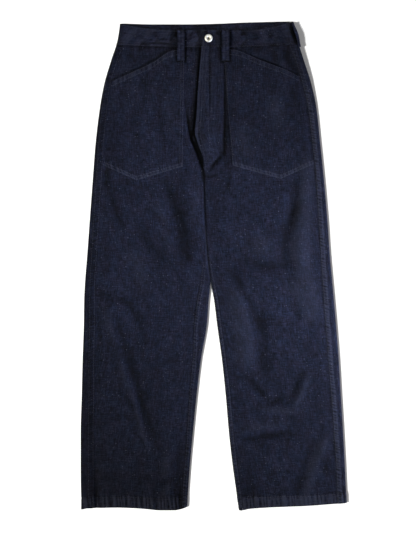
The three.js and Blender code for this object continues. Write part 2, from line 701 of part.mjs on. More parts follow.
function add(name, geometry, finish) {
  const mesh = new THREE.Mesh(geometry, new THREE.MeshStandardMaterial(finish));
  mesh.name = name;
  garment.add(mesh);
}

for (const side of [LEFT, RIGHT]) {
  add(`front_${side.name}`, makeFront(side), DENIM);
  add(`back_${side.name}`, makeBack(side), DENIM);
  add(`pocket_${side.name}`, makePocket(side, side === LEFT ? LEFT_POCKET : RIGHT_POCKET), DENIM);
  add(`loop_front_${side.name}`, makeFrontLoop(side, FRONT_LOOPS[side.name]), DENIM_BAND);
}
add("waistband", makeWaistband(), DENIM_BAND);
add("fly_shield", makeShield(), DENIM);
add("loop_side_left", makeSideLoop(), DENIM_BAND);
add("loop_side_right", makeBackLoop(BACK_LOOPS.right), DENIM_BAND);
add("loop_back", makeBackLoop(BACK_LOOPS.center), DENIM_BAND);
add("button", makeButton(), SILVER);
add("button_tack", makeTack(), DARK_METAL);

export default garment;
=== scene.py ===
"""Dark denim jeans laid flat with the front up: the cloth, seams, thread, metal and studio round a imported
model.

Metres. X runs across towards the wearer's left, Y up to the waist and Z up from the table. Left and right
are the wearer's. Every cloth piece is a closed wall: an outer face worked out on a grid, and the same
face moved inwards.
"""
import math
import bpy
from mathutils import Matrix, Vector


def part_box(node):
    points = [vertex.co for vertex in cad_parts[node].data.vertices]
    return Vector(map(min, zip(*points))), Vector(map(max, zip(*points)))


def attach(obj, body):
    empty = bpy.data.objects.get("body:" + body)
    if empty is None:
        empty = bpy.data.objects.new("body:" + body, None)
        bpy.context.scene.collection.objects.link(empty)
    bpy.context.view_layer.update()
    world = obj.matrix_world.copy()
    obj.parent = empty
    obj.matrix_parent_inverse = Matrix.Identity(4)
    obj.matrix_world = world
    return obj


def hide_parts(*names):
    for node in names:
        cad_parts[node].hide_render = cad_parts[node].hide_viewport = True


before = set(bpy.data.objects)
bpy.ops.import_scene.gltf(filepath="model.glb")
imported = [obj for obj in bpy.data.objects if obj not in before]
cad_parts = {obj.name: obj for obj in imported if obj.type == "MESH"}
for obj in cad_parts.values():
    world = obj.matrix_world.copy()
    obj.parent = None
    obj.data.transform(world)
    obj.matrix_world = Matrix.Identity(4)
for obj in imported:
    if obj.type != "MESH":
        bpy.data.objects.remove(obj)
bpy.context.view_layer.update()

from types import SimpleNamespace

import bpy
import numpy as np
from mathutils import Vector

bl_info = {
    "name": "Straight jeans laid flat",
    "version": (1, 0, 0),
    "blender": (4, 5, 0),
    "location": "3D View > Sidebar > Jeans",
    "description": "Dresses a packed model of straight jeans in denim, thread and metal",
    "category": "Add Mesh",
}

BODY = "root"

# Lengths along the garment, as in the solids
WAIST_SEAM = 0.480
WAIST_DIP = 0.005
BACK_SEAM = 0.484
CROTCH = 0.198
HEM_END = -0.522
HEM_DEPTH = 0.024
HEM_RISE = 0.0012
HEM_STEP = 0.003
BACK_HEM_SHORT = 0.002
END_LEAN = 0.060
SEAM_GAP = 0.0003
LEGS_PRESS = -0.00008  # the gap where the legs press together
FORK = -0.044  # where the legs part

# The rolled edges, and how the cloth goes from its edge height to its loft
ROLL = 0.005
INNER_EDGE_HEIGHT = 0.0074
OUTER_RISE = 0.046
INNER_RISE = 0.034

# The lift of the back at the waist, most at its left corner
BAND_CLEARANCE = 0.0028
LIFT_START = 0.330
LIFT_LENGTH = 0.130
CORNER_LIFT = 0.006
CORNER_X = 0.040
CORNER_WIDTH = 0.125
CORNER_Y = 0.350
CORNER_LENGTH = 0.140

# The fly
FLY_LAP = 0.012
FLY_STEP = 0.002
FLY_LAP_START = 0.218
FLY_LAP_FULL = 0.258
FLY_FADE = 0.034
SHIELD_WIDTH = 0.040
SHIELD_OVERHANG = 0.005
SHIELD_TOP = 0.473
SHIELD_BOTTOM = 0.345
SHIELD_DEPTH = 0.0008

# The waistband
BAND_RISE = 0.0007
BAND_LAP_END = -0.0244
BAND_UNDERLAP_END = 0.012
BAND_STEP = 0.0031
BAND_HEIGHT = 0.041
BAND_PILLOW = 0.00035
BAND_ROUND_OFF = 0.0005
BAND_FADE = 0.030

# The belt loops
LOOP_WIDTH = 0.0175
LOOP_BOTTOM = 0.446
LOOP_BOW = 0.0010
FRONT_LOOP_X = {"left": 0.0258, "right": -0.0712}
BACK_LOOP_X = {"loop_back": -0.018, "loop_side_right": -0.186}
BACK_LOOP_LENGTH = 0.062
LOOP_SEAT = 0.0004
LOOP_PILLOW = 0.0003
SIDE_LOOP_BOTTOM = 0.475
SIDE_LOOP_TOP = 0.528
SIDE_LOOP_BOW = 0.0032
SIDE_LOOP_SEAT = 0.0011
SIDE_LOOP_SPAN = 0.0105  # its reach along the band, under its bow

# Sections of the legs: the outline, the edge height, the seams and the column along the pocket's fly side
SECTION_COLUMNS = ("y", "outer", "inner", "edge", "outseam", "inseam", "split")
LEFT_SECTIONS = (
    (0.530, 0.1690, -0.0177, 0.0088, 0.022, 0.000, 0.0200),
    (0.505, 0.1755, -0.0177, 0.0088, 0.022, 0.000, 0.0200),
    (0.480, 0.1840, -0.0177, 0.0086, 0.021, 0.000, 0.0205),
    (0.449, 0.1945, -0.0182, 0.0084, 0.021, 0.000, 0.0220),
    (0.397, 0.2120, -0.0192, 0.0082, 0.022, 0.000, 0.0260),
    (0.345, 0.2235, -0.0197, 0.0080, 0.021, 0.000, 0.0300),
    (0.266, 0.2320, -0.0207, 0.0078, 0.020, 0.000, 0.0370),
    (0.198, 0.2390, -0.0215, 0.0077, 0.020, 0.000, 0.0430),
    (0.100, 0.2476, -0.0193, 0.0076, 0.022, 0.002, 0.0580),
    (0.022, 0.2530, -0.0139, 0.0075, 0.023, 0.007, 0.0700),
    (-0.039, 0.2585, -0.0061, 0.0075, 0.024, 0.011, 0.0800),
    (-0.074, 0.2617, 0.0007, 0.0075, 0.025, 0.011, 0.0860),
    (-0.126, 0.2662, 0.0072, 0.0075, 0.026, 0.011, 0.0930),
    (-0.205, 0.2723, 0.0181, 0.0075, 0.026, 0.011, 0.1030),
    (-0.283, 0.2769, 0.0263, 0.0075, 0.024, 0.012, 0.1120),
    (-0.362, 0.2817, 0.0331, 0.0075, 0.023, 0.012, 0.1180),
    (-0.440, 0.2858, 0.0420, 0.0075, 0.022, 0.012, 0.1240),
    (-0.522, 0.2895, 0.0545, 0.0075, 0.022, 0.012, 0.1320),
)
RIGHT_SECTIONS = (
    (0.530, -0.2045, -0.0180, 0.0086, 0.018, 0.000, -0.0650),
    (0.505, -0.2075, -0.0180, 0.0086, 0.018, 0.000, -0.0650),
    (0.480, -0.2115, -0.0180, 0.0084, 0.018, 0.000, -0.0640),
    (0.449, -0.2220, -0.0185, 0.0082, 0.017, 0.000, -0.0635),
    (0.397, -0.2378, -0.0195, 0.0080, 0.017, 0.000, -0.0640),
    (0.345, -0.2476, -0.0200, 0.0078, 0.019, 0.000, -0.0650),
    (0.266, -0.2572, -0.0210, 0.0077, 0.021, 0.000, -0.0660),
    (0.198, -0.2625, -0.0218, 0.0076, 0.022, 0.000, -0.0670),
    (0.100, -0.2698, -0.0196, 0.0076, 0.023, 0.002, -0.0840),
    (0.022, -0.2755, -0.0142, 0.0075, 0.024, 0.010, -0.0930),
    (-0.039, -0.2803, -0.0074, 0.0075, 0.025, 0.024, -0.1000),
    (-0.074, -0.2820, -0.0107, 0.0075, 0.026, 0.027, -0.1040),
    (-0.126, -0.2827, -0.0146, 0.0075, 0.027, 0.030, -0.1100),
    (-0.205, -0.2854, -0.0279, 0.0075, 0.028, 0.020, -0.1140),
    (-0.283, -0.2873, -0.0372, 0.0075, 0.030, 0.018, -0.1190),
    (-0.362, -0.2895, -0.0451, 0.0075, 0.031, 0.015, -0.1240),
    (-0.440, -0.2895, -0.0521, 0.0075, 0.031, 0.014, -0.1280),
    (-0.522, -0.2885, -0.0578, 0.0075, 0.030, 0.014, -0.1320),
)

# Lines across or along the garment, as pairs of a place and a value
LOFT = ((0.530, 0.0064), (0.480, 0.0061), (0.198, 0.0060), (-0.522, 0.0058))
FLY_EDGE = (
    (0.480, -0.0262), (0.450, -0.0283), (0.417, -0.0310), (0.377, -0.0338), (0.323, -0.0373),
    (0.290, -0.0405), (0.260, -0.0320), (0.231, -0.0248), (0.198, -0.0216),
)
FLY_FACING = (
    (0.480, 0.0215), (0.400, 0.0215), (0.341, 0.0240), (0.284, 0.0187), (0.250, 0.0115),
    (0.225, -0.0030), (0.2095, -0.0174), (0.198, -0.0215),
)
FLY_STITCH = (
    (0.480, -0.0120), (0.355, -0.0120), (0.300, -0.0115), (0.268, -0.0085), (0.245, -0.0100),
    (0.222, -0.0180),
)
BAND_FRONT_TOP = (
    (-0.205, 0.526), (-0.162, 0.5186), (-0.133, 0.515), (-0.083, 0.512), (-0.024, 0.5126),
    (0.070, 0.5118), (0.102, 0.5134), (0.134, 0.520), (0.170, 0.528),
)
BAND_BACK_TOP = (
    (-0.205, 0.527), (-0.133, 0.525), (-0.061, 0.525), (0.011, 0.5265), (0.062, 0.5287), (0.170, 0.530),
)
LEFT_HEM_LINE = (
    (0.054, -0.531), (0.062, -0.5305), (0.078, -0.5272), (0.115, -0.5246), (0.209, -0.5205),
    (0.251, -0.5172), (0.290, -0.5150),
)
RIGHT_HEM_LINE = (
    (-0.289, -0.530), (-0.275, -0.5266), (-0.210, -0.5246), (-0.147, -0.5275), (-0.116, -0.5305),
    (-0.084, -0.5305), (-0.058, -0.5235),
)

# Patch pockets: mouth and bottom by the share of the way from the fly side to the outseam
POCKET_TIP = 4 / 7
LEFT_POCKET_MOUTH = ((0, 0.472), (0.16, 0.470), (0.5, 0.448), (0.8, 0.428), (1, 0.411))
RIGHT_POCKET_MOUTH = ((0, 0.472), (0.2, 0.468), (0.5, 0.440), (0.8, 0.417), (1, 0.401))
LEFT_POCKET_BOTTOM = ((0, 0.218), (POCKET_TIP, 0.189), (1, 0.222))
RIGHT_POCKET_BOTTOM = ((0, 0.216), (POCKET_TIP, 0.186), (1, 0.219))
POCKET_BELLY = 0.0005
BOTTOM_SLANT = 0.94  # cosine of the bottom's slant
MOUTH_SLANT = 0.92  # cosine of the mouth's slant
MOUTH_LIFT = {"left": 0.0016, "right": 0.0}  # how far the mouth stands open
MOUTH_GROOVE = {"left": 0.0018, "right": 0.0002}  # depth of the front's dip above the mouth, which also sets its painted shade
MOUTH_GROOVE_WIDTH = 0.0032
MOUTH_FADE = {"left": 0.5, "right": 0.9}  # how far the mouth's crests have paled

# The largest folds, as in the solids: where each starts and ends, its half width and its height
FOLD_FADE = 0.030  # a fold eases off at its ends over this length
CREASE_FADE = 0.4  # and a crease over this share of its length, where that is shorter
FOLDS = (
    (-0.100, 0.175, -0.042, 0.035, 0.020, -0.0024),
    (-0.050, 0.250, -0.042, 0.320, 0.014, -0.0014),
    (0.008, 0.285, -0.006, 0.222, 0.014, -0.0020),
    (-0.024, 0.345, -0.014, 0.250, 0.016, 0.0020),
    (0.176, 0.150, 0.160, 0.078, 0.017, -0.0022),
    (0.070, -0.020, 0.150, -0.075, 0.024, 0.0018),
    (0.058, -0.240, 0.100, -0.292, 0.017, -0.0022),
    (0.140, -0.280, 0.190, -0.322, 0.020, 0.0020),
    (0.075, -0.372, 0.170, -0.360, 0.018, -0.0022),
    (0.228, -0.360, 0.190, -0.470, 0.016, -0.0022),
    (-0.190, -0.060, -0.140, -0.290, 0.024, -0.0020),
    (-0.150, -0.180, -0.105, -0.420, 0.024, 0.0018),
    (-0.225, -0.070, -0.215, -0.200, 0.022, 0.0016),
)
# The finer creases of the front, in the same columns
CREASES = (
    (-0.0605, 0.334, -0.0475, 0.276, 0.0036, -0.0042),  # the fork beside the fly
    (-0.050, 0.286, -0.040, 0.268, 0.0050, -0.0016),
    (-0.0105, 0.468, -0.0100, 0.340, 0.0026, -0.0022),  # inside the edge of the fly
    (0.0238, 0.446, 0.0232, 0.356, 0.0026, -0.0016),  # along the fly facing and round its foot
    (0.0230, 0.366, 0.0215, 0.240, 0.0040, -0.0036),
    (0.0200, 0.250, -0.0120, 0.207, 0.0046, -0.0030),
    (0.0060, 0.420, 0.0070, 0.330, 0.0026, -0.0010),
    (-0.020, 0.194, 0.012, 0.200, 0.0030, -0.0026),  # across from the crotch
    (0.035, 0.508, 0.030, 0.484, 0.0045, -0.0016),  # the waistband's own
    (0.066, 0.512, 0.062, 0.484, 0.0065, -0.0024),
    (0.100, 0.502, 0.086, 0.478, 0.0100, -0.0018),
    (0.130, 0.506, 0.126, 0.480, 0.0090, -0.0020),
    (0.150, 0.496, 0.166, 0.488, 0.0060, -0.0014),
    (-0.085, 0.508, -0.082, 0.482, 0.0055, -0.0016),
    (-0.148, 0.4925, -0.094, 0.4915, 0.0022, -0.0016),
    (-0.146, 0.4868, -0.096, 0.4862, 0.0034, 0.0014),
    (-0.125, 0.506, -0.130, 0.484, 0.0060, -0.0014),
    (-0.160, 0.500, -0.150, 0.482, 0.0050, -0.0010),
    (0.034, 0.204, 0.028, 0.170, 0.0050, -0.0018),
    (-0.030, 0.168, -0.046, 0.110, 0.0080, 0.0010),
    (-0.104, 0.184, -0.077, 0.108, 0.0120, -0.0034),  # right thigh
    (-0.077, 0.110, -0.060, 0.018, 0.0150, -0.0040),
    (-0.120, 0.130, -0.092, 0.040, 0.0120, 0.0010),
    (-0.238, 0.204, -0.205, 0.088, 0.0100, -0.0020),
    (-0.142, 0.122, -0.102, 0.080, 0.0060, -0.0014),
    (-0.154, 0.058, -0.096, 0.002, 0.0100, -0.0022),
    (-0.176, 0.030, -0.150, -0.040, 0.0160, 0.0012),
    (-0.130, -0.004, -0.098, -0.044, 0.0090, -0.0010),
    (-0.058, -0.066, -0.046, -0.112, 0.0070, -0.0010),
    (-0.248, -0.060, -0.188, -0.080, 0.0105, -0.0020),  # right knee
    (-0.192, -0.074, -0.158, -0.128, 0.0085, -0.0018),
    (-0.234, -0.100, -0.212, -0.160, 0.0120, 0.0014),
    (-0.214, -0.116, -0.180, -0.210, 0.0095, -0.0024),  # the long fold of the right shin
    (-0.182, -0.206, -0.158, -0.296, 0.0100, -0.0028),
    (-0.160, -0.290, -0.132, -0.376, 0.0095, -0.0026),
    (-0.206, -0.190, -0.188, -0.262, 0.0075, 0.0010),
    (-0.180, -0.262, -0.148, -0.388, 0.0070, 0.0016),
    (-0.198, -0.280, -0.174, -0.308, 0.0055, -0.0016),
    (-0.170, -0.360, -0.146, -0.402, 0.0060, -0.0014),
    (-0.240, -0.344, -0.196, -0.324, 0.0055, -0.0014),
    (-0.196, -0.324, -0.170, -0.344, 0.0060, -0.0010),
    (-0.118, -0.214, -0.072, -0.190, 0.0062, -0.0014),
    (-0.126, -0.472, -0.088, -0.462, 0.0070, -0.0014),
    (-0.112, -0.500, -0.092, -0.470, 0.0070, 0.0010),
    (-0.263, -0.420, -0.252, -0.515, 0.0065, -0.0018),
    (-0.075, -0.400, -0.080, -0.518, 0.0062, -0.0020),
    (-0.100, -0.410, -0.108, -0.470, 0.0100, 0.0012),
    (-0.168, -0.414, -0.162, -0.500, 0.0080, -0.0010),
    (-0.0705, -0.470, -0.0775, -0.530, 0.0028, -0.0026),
    (-0.2775, -0.500, -0.2765, -0.530, 0.0024, -0.0022),
    (-0.2560, -0.482, -0.2545, -0.530, 0.0028, -0.0022),
    (0.180, 0.196, 0.172, 0.130, 0.0100, -0.0018),  # left thigh, and the swell along its outer side
    (0.174, 0.134, 0.153, 0.060, 0.0110, -0.0024),
    (0.153, 0.064, 0.156, 0.004, 0.0100, -0.0018),
    (0.205, 0.230, 0.192, 0.120, 0.0190, 0.0022),
    (0.192, 0.130, 0.184, 0.020, 0.0200, 0.0030),
    (0.186, 0.030, 0.214, -0.110, 0.0190, 0.0026),
    (0.050, 0.190, 0.078, 0.184, 0.0050, -0.0012),
    (0.034, 0.160, 0.048, 0.146, 0.0060, -0.0010),
    (0.086, 0.060, 0.120, 0.030, 0.0220, 0.0014),
    (0.050, 0.018, 0.104, 0.002, 0.0100, -0.0020),
    (0.100, 0.004, 0.166, 0.000, 0.0110, -0.0024),
    (0.036, -0.008, 0.066, -0.062, 0.0085, -0.0024),  # left knee
    (0.066, -0.060, 0.098, -0.128, 0.0090, -0.0022),
    (0.102, -0.096, 0.106, -0.240, 0.0130, -0.0020),
    (0.052, -0.050, 0.074, -0.210, 0.0210, 0.0024),
    (0.168, -0.040, 0.204, -0.098, 0.0095, 0.0018),
    (0.160, -0.070, 0.188, -0.116, 0.0080, -0.0014),
    (0.036, -0.236, 0.074, -0.243, 0.0050, -0.0018),  # the folds of the left shin
    (0.074, -0.243, 0.112, -0.286, 0.0062, -0.0026),
    (0.116, -0.298, 0.150, -0.288, 0.0070, -0.0026),
    (0.112, -0.312, 0.168, -0.316, 0.0075, 0.0018),
    (0.158, -0.300, 0.186, -0.240, 0.0070, -0.0018),
    (0.176, -0.304, 0.202, -0.244, 0.0075, 0.0022),
    (0.058, -0.376, 0.100, -0.374, 0.0060, -0.0024),
    (0.096, -0.370, 0.156, -0.362, 0.0090, -0.0024),
    (0.070, -0.352, 0.150, -0.346, 0.0120, 0.0012),
    (0.206, -0.392, 0.192, -0.440, 0.0085, -0.0018),
    (0.192, -0.440, 0.176, -0.504, 0.0085, -0.0020),
    (0.242, -0.376, 0.216, -0.430, 0.0100, 0.0022),
    (0.216, -0.430, 0.200, -0.500, 0.0110, 0.0020),
    (0.076, -0.500, 0.082, -0.426, 0.0110, -0.0014),
    (0.240, -0.426, 0.236, -0.446, 0.0060, -0.0012),
    (0.152, 0.478, 0.162, 0.446, 0.0085, -0.0030),  # left hip
    (0.160, 0.450, 0.182, 0.412, 0.0085, -0.0034),
    (0.122, 0.470, 0.142, 0.440, 0.0090, -0.0024),
    (0.140, 0.474, 0.150, 0.430, 0.0080, 0.0012),
    (0.104, 0.424, 0.130, 0.384, 0.0090, -0.0012),
    (0.170, 0.404, 0.186, 0.330, 0.0140, -0.0018),
    (0.130, 0.372, 0.140, 0.300, 0.0180, 0.0012),
    (0.040, 0.380, 0.034, 0.300, 0.0080, -0.0010),
    (0.062, 0.300, 0.070, 0.236, 0.0180, 0.0012),
    (-0.200, 0.470, -0.140, 0.448, 0.0090, -0.0012),  # right hip
    (-0.152, 0.414, -0.150, 0.356, 0.0070, -0.0014),
    (-0.118, 0.330, -0.114, 0.268, 0.0080, -0.0014),
    (-0.176, 0.340, -0.170, 0.250, 0.0100, -0.0010),
    (-0.100, 0.380, -0.094, 0.300, 0.0120, 0.0008),
    (-0.196, 0.400, -0.200, 0.300, 0.0090, -0.0008),
    (-0.200, 0.180, -0.150, 0.172, 0.0060, -0.0014),
)
CREASE_LIMIT = 0.0042  # creases that cross don't add up to more than this depth

# The legs' puff between their edges, and the trough beside each outseam: its depth by height
PUFF = 0.0026
PUFF_TOP = 0.400
TROUGH_WIDTH = 0.0065
TROUGH_INSIDE = 0.0045
LEFT_TROUGH = (
    (0.480, 0.0006), (0.420, 0.0016), (0.300, 0.0018), (0.210, 0.0012), (0.150, 0.0006),
    (-0.100, 0.0004), (-0.522, 0.0003),
)
RIGHT_TROUGH = (
    (0.480, 0.0003), (0.400, 0.0006), (0.350, 0.0016), (0.200, 0.0016), (0.150, 0.0007),
    (-0.040, 0.0007), (-0.080, 0.0014), (-0.522, 0.0016),
)

# The gap beside the fly, where the right front dips: its middle, depth and half width by height
FLY_GAP = (
    (0.480, -0.0285), (0.420, -0.0326), (0.362, -0.0366), (0.303, -0.0412), (0.284, -0.0425),
    (0.253, -0.0350), (0.231, -0.0282), (0.207, -0.0236), (0.180, -0.0236),
)
FLY_GAP_DEPTH = (
    (0.480, 0.0012), (0.455, 0.0026), (0.340, 0.0030), (0.300, 0.0044), (0.225, 0.0048),
    (0.200, 0.0030), (0.175, 0.0),
)
FLY_GAP_WIDTH = (
    (0.480, 0.0026), (0.320, 0.0028), (0.288, 0.0042), (0.262, 0.0056), (0.230, 0.0054),
    (0.205, 0.0034),
)

# The fly's own relief: fine streaks down it, its facing, and the puffed end of its lap
STREAK = 0.00026
FACING_RISE = 0.0009
FLY_ROW_GROOVE = 0.0004
LAP_EDGE_RISE = 0.0008
FLY_FOOT = 0.206
FLY_PUFF_Y = 0.258
FLY_PUFF_LENGTH = 0.050
FLY_PUFF_RISE = 0.0022

# Felled seams, hems and rims. A fade is how far the crests have paled, and a line's shade how dark the
# painted shade along it is; below 0 it paints light there instead.
RIDGE_WIDTH = {"left": 0.0105, "right": 0.0135}
RIDGE_RISE = {"left": 0.0009, "right": 0.0006}
INSEAM_RIDGE_WIDTH = 0.0090
INSEAM_RIDGE_RISE = 0.0009
HEM_FADE = {"left": 0.62, "right": 0.36}
SEAM_FADE = {"left": 0.78, "right": 0.02}
INSEAM_FADE = 0.4
SEAM_SHADE = {"left": -0.3, "right": 0.6}
INSEAM_SHADE = 0.6
BAND_SHADE = {"left": 0.2, "right": 0.6}
# how dark the painted shadow round the front loops is
LOOP_SHADOW_PAINT = 0.9
RIM_WIDTH = 0.0085
RIM_RISE = 0.00042
RIM_FADE = {"side": 0.22, "bottom": 1.15}
POCKET_HEM = 0.0120
CREASE_SHADE = 0.0042  # a crease of this depth is painted fully dark, as its shade

# Distances between the puckers of each seam, how high they stand, and the depth of the lines of stitches
PITCH = {
    "seam": 0.0068, "hem": 0.0098, "hem, finer": 0.0060, "under band": 0.0125, "fly row": 0.0105,
    "fly swell": 0.045, "fly streak": 0.0056, "fly streak, finer": 0.0033, "pocket side": 0.0092,
    "pocket bottom": 0.0078, "pocket mouth": 0.0120, "band": 0.0105, "band swell": 0.031, "loop": 0.0085,
}
ROPE_RISE = {
    "seam": 0.00032, "hem": 0.00060, "under band": 0.00032, "fly row": 0.00025, "rim": 0.00022,
    "band": 0.00022, "band swell": 0.00028, "loop": 0.00012,
}
STITCH_LINE = {"hem": 0.0004, "rim": 0.0002, "band": 0.00028, "loop": 0.0002}  # pulled in by the rows

# Insets of the rows of stitches from the edges beside them
SEAM_ROW = 0.0018
RIM_ROW = 0.0012
EDGE_ROW = 0.0022

# Each stitch: its rings and the points of a ring
STITCH_RINGS = 4
STITCH_SIDES = 5

# The denim's uneven tone. Each row is a noise: its cells for each metre across and along, its detail and
# roughness, the range that is read, and the tones at its two ends.
DENIM_TONES = {
    "mottle": ((34, 22), 4.0, 0.65, 0.30, 0.70, 0.83, 1.18),
    "cloud": ((7, 5), 2.0, 0.5, 0.3, 0.7, 0.88, 1.12),
    "streaks": ((190, 34), 2.0, 0.6, 0.3, 0.7, 0.82, 1.19),
    "bars": ((36, 200), 2.0, 0.6, 0.3, 0.7, 0.84, 1.17),
    "warp": ((430, 75), 3.0, 0.65, 0.25, 0.75, 0.42, 1.62),
    "weft": ((80, 470), 3.0, 0.65, 0.25, 0.75, 0.46, 1.58),
    "grain": ((330, 330), 3.0, 0.7, 0.25, 0.75, 0.66, 1.36),
}
TWILL_ACROSS = 0.00115
TWILL_ALONG = 0.0019
WARM_TINT = (1.12, 0.97, 0.95)
COOL_TINT = (0.89, 1.03, 1.08)
SPECK_CELLS = (215, 260)
YARN_RELIEF = {"warp": 0.9, "weft": 0.8, "grain": 0.9}
BAND_TONE = 1.36

# The table, the camera's sensor in mm and the places of the lights
TABLE_REACH = 4.0
TABLE_DEPTH = 0.0004  # how far the table lies below the cloth
SENSOR = 36.0
HIGH_PLACE = (-4.80, -1.00, 6.20)
LOW_PLACE = (2.35, -1.30, 0.95)

# The rings: points round a quarter of a roll and over a flat, and how far apart they are set to be read
ARC_POINTS = 12
FLAT_POINTS = 150
ROW_APART = 10.0


# Small functions

def ease(t):
    """Goes from 0 to 1 and is level at both ends: 3 t squared less 2 t cubed."""
    s = np.clip(t, 0.0, 1.0)
    return s * s * (3 - 2 * s)


def mix(a, b, t):
    """The value a share t of the way from a to b."""
    return a + (b - a) * t


def between(s, start, end, soft):
    """1 where s lies between start and end, and 0 outside, easing over a soft length at each end."""
    return ease((s - start) / soft + 0.5) * ease((end - s) / soft + 0.5)


def bell(s, width):
    """1 where s is 0, falling to both sides as exp(-(s / width) squared)."""
    return np.exp(-((s / width) ** 2))


def dying(s, length):
    """1 up to where s is 0, and dying away beyond it as exp(-s / length)."""
    return np.exp(-np.clip(s, 0, 1) / length)


def unit(vectors):
    """The vectors at length 1."""
    return vectors / np.maximum(np.linalg.norm(vectors, axis=-1, keepdims=True), 1e-12)


def through(pairs):
    """A smooth curve through pairs of a place and a value: cubic stretches whose slope at each pair is
    the harmonic mean of the slopes beside it, or level at a peak, so that it never overshoots."""
    at, value = np.array(sorted(pairs), float).T
    rise = np.diff(value) / np.diff(at)
    turns = rise[:-1] * rise[1:] <= 0
    total = np.where(turns, 1.0, rise[:-1] + rise[1:])
    slope = np.concatenate([rise[:1], np.where(turns, 0.0, 2 * rise[:-1] * rise[1:] / total), rise[-1:]])

    def curve(place):
        inside = np.clip(place, at[0], at[-1])
        i = np.clip(np.searchsorted(at, inside, side="left") - 1, 0, len(at) - 2)
        step = at[i + 1] - at[i]
        t = (inside - at[i]) / step
        near = (1 + 2 * t) * (1 - t) ** 2 * value[i] + t * (1 - t) ** 2 * step * slope[i]
        far = t * t * (3 - 2 * t) * value[i + 1] - t * t * (1 - t) * step * slope[i + 1]
        return near + far

    return curve


def straight(pairs):
    """Straight lines through pairs of a place and a value."""
    at, value = np.array(sorted(pairs), float).T
    return lambda place: np.interp(place, at, value)


def waves(x, y, shortest, longest, stretch, seed, count=28):
    """Soft uneven rumples about 1 high: the mean of plane sine waves in random directions and lengths,
    drawn out along y by the stretch."""
    draw = np.random.default_rng(seed)
    length = np.exp(draw.uniform(math.log(shortest), math.log(longest), count))
    angle = draw.uniform(0, math.pi, count)
    phase = draw.uniform(0, 2 * math.pi, count)
    total = np.zeros(np.broadcast(x, y).shape)
    for wave, turn, start in zip(length, angle, phase):
        across = x * math.cos(turn) + y * math.sin(turn) / stretch
        total += np.sin(2 * math.pi * across / wave + start)
    return total * math.sqrt(2 / count)


def pucker(travel, seed, pitch):
    """Uneven puckers along a seam, from -1 to 1: a sine whose phase wanders, swelling and fading along
    its way."""
    draw = np.random.default_rng(seed)
    drift = sum(
        draw.uniform(0.5, 1.0) * np.sin(2 * math.pi * travel / (pitch * far) + draw.uniform(0, 6.28))
        for far in (3.1, 5.3, 8.9)
    )
    swell = 0.72 + 0.28 * np.sin(2 * math.pi * travel / (pitch * 6.7) + draw.uniform(0, 6.28))
    return swell * np.sin(2 * math.pi * travel / pitch + 1.5 * drift)


# The garment's form

def make_side(name, out, sections, hem_line, mouth, bottom, trough, seed):
    """The curves of one side, from its tables. out is +1 where its outer edge is towards +X."""
    columns = dict(zip(SECTION_COLUMNS, zip(*sections)))
    heights = columns.pop("y")
    curves = {key: through(zip(heights, column)) for key, column in columns.items()}
    return SimpleNamespace(
        name=name, out=out, hem=through(hem_line), mouth=through(mouth), bottom=straight(bottom),
        trough=through(trough), seed=seed, **curves
    )


LEFT = make_side(
    "left", 1, LEFT_SECTIONS, LEFT_HEM_LINE, LEFT_POCKET_MOUTH, LEFT_POCKET_BOTTOM, LEFT_TROUGH, 11
)
RIGHT = make_side(
    "right", -1, RIGHT_SECTIONS, RIGHT_HEM_LINE, RIGHT_POCKET_MOUTH, RIGHT_POCKET_BOTTOM, RIGHT_TROUGH, 37
)
right_inner_as_cut = RIGHT.inner


def leg_gap(y):
    """The gap between the two sides: a seam's above the fly's foot, and none where the legs press
    together."""
    return mix(LEGS_PRESS, SEAM_GAP, ease((y - FLY_LAP_START) / 0.01))


RIGHT.inner = lambda y: mix(
    np.minimum(right_inner_as_cut(y), LEFT.inner(y) - SEAM_GAP),
    LEFT.inner(y) - leg_gap(y),
    ease((y - FORK) / 0.008),
)
SIDES = (LEFT, RIGHT)

loft_at = through(LOFT)
fly_edge_at = through(FLY_EDGE)
fly_facing_at = through(FLY_FACING)
fly_stitch_at = through(FLY_STITCH)
fly_gap_at = through(FLY_GAP)
fly_gap_depth_at = through(FLY_GAP_DEPTH)
fly_gap_width_at = through(FLY_GAP_WIDTH)
band_front_top_at = through(BAND_FRONT_TOP)
band_back_top_at = through(BAND_BACK_TOP)


def front_seam_at(x):
    """The waist seam of the front: a parabola, lowest in the middle of the waist."""
    middle = (LEFT.outer(WAIST_SEAM) + RIGHT.outer(WAIST_SEAM)) / 2
    reach = (LEFT.outer(WAIST_SEAM) - RIGHT.outer(WAIST_SEAM)) / 2
    return WAIST_SEAM - WAIST_DIP * (1 - ((x - middle) / reach) ** 2)


def leg_share(y):
    """1 on the legs and 0 above the crotch, where the two sides are one tube."""
    return 1 - ease((y - CROTCH) / (FLY_LAP_START - CROTCH))


def hem_share(y):
    """1 on the turned-up leg end and 0 above it."""
    return ease((HEM_END + HEM_DEPTH - y) / HEM_STEP + 1)


def fold_height(x, y, table, fade_share=math.inf):
    """Height of the folds of a table: each a bell across its line, easing off at its two ends over the
    fold fade or a share of its length, whichever is shorter."""
    total = np.zeros(np.broadcast(x, y).shape)
    for x0, y0, x1, y1, width, height in table:
        length = math.hypot(x1 - x0, y1 - y0)
        ux, uy = (x1 - x0) / length, (y1 - y0) / length
        along = (x - x0) * ux + (y - y0) * uy
        aside = (y - y0) * ux - (x - x0) * uy
        soft = min(FOLD_FADE, fade_share * length)
        ends = ease((along + soft) / (2 * soft)) * ease((length + soft - along) / (2 * soft))
        total += height * ends * bell(aside, width)
    return total


def crease_height(x, y):
    """Height of the finer creases, less than 0 where they sink."""
    return fold_height(x, y, CREASES, CREASE_FADE)


def rumple(x, y):
    """The unevenness of worn-in cloth: long soft rumples down the legs, with finer ones between them."""
    long_ones = waves(x, y, 0.030, 0.090, 2.6, seed=5)
    fine_ones = waves(x, y, 0.012, 0.028, 1.7, seed=8)
    return 0.00030 * long_ones + 0.00008 * fine_ones


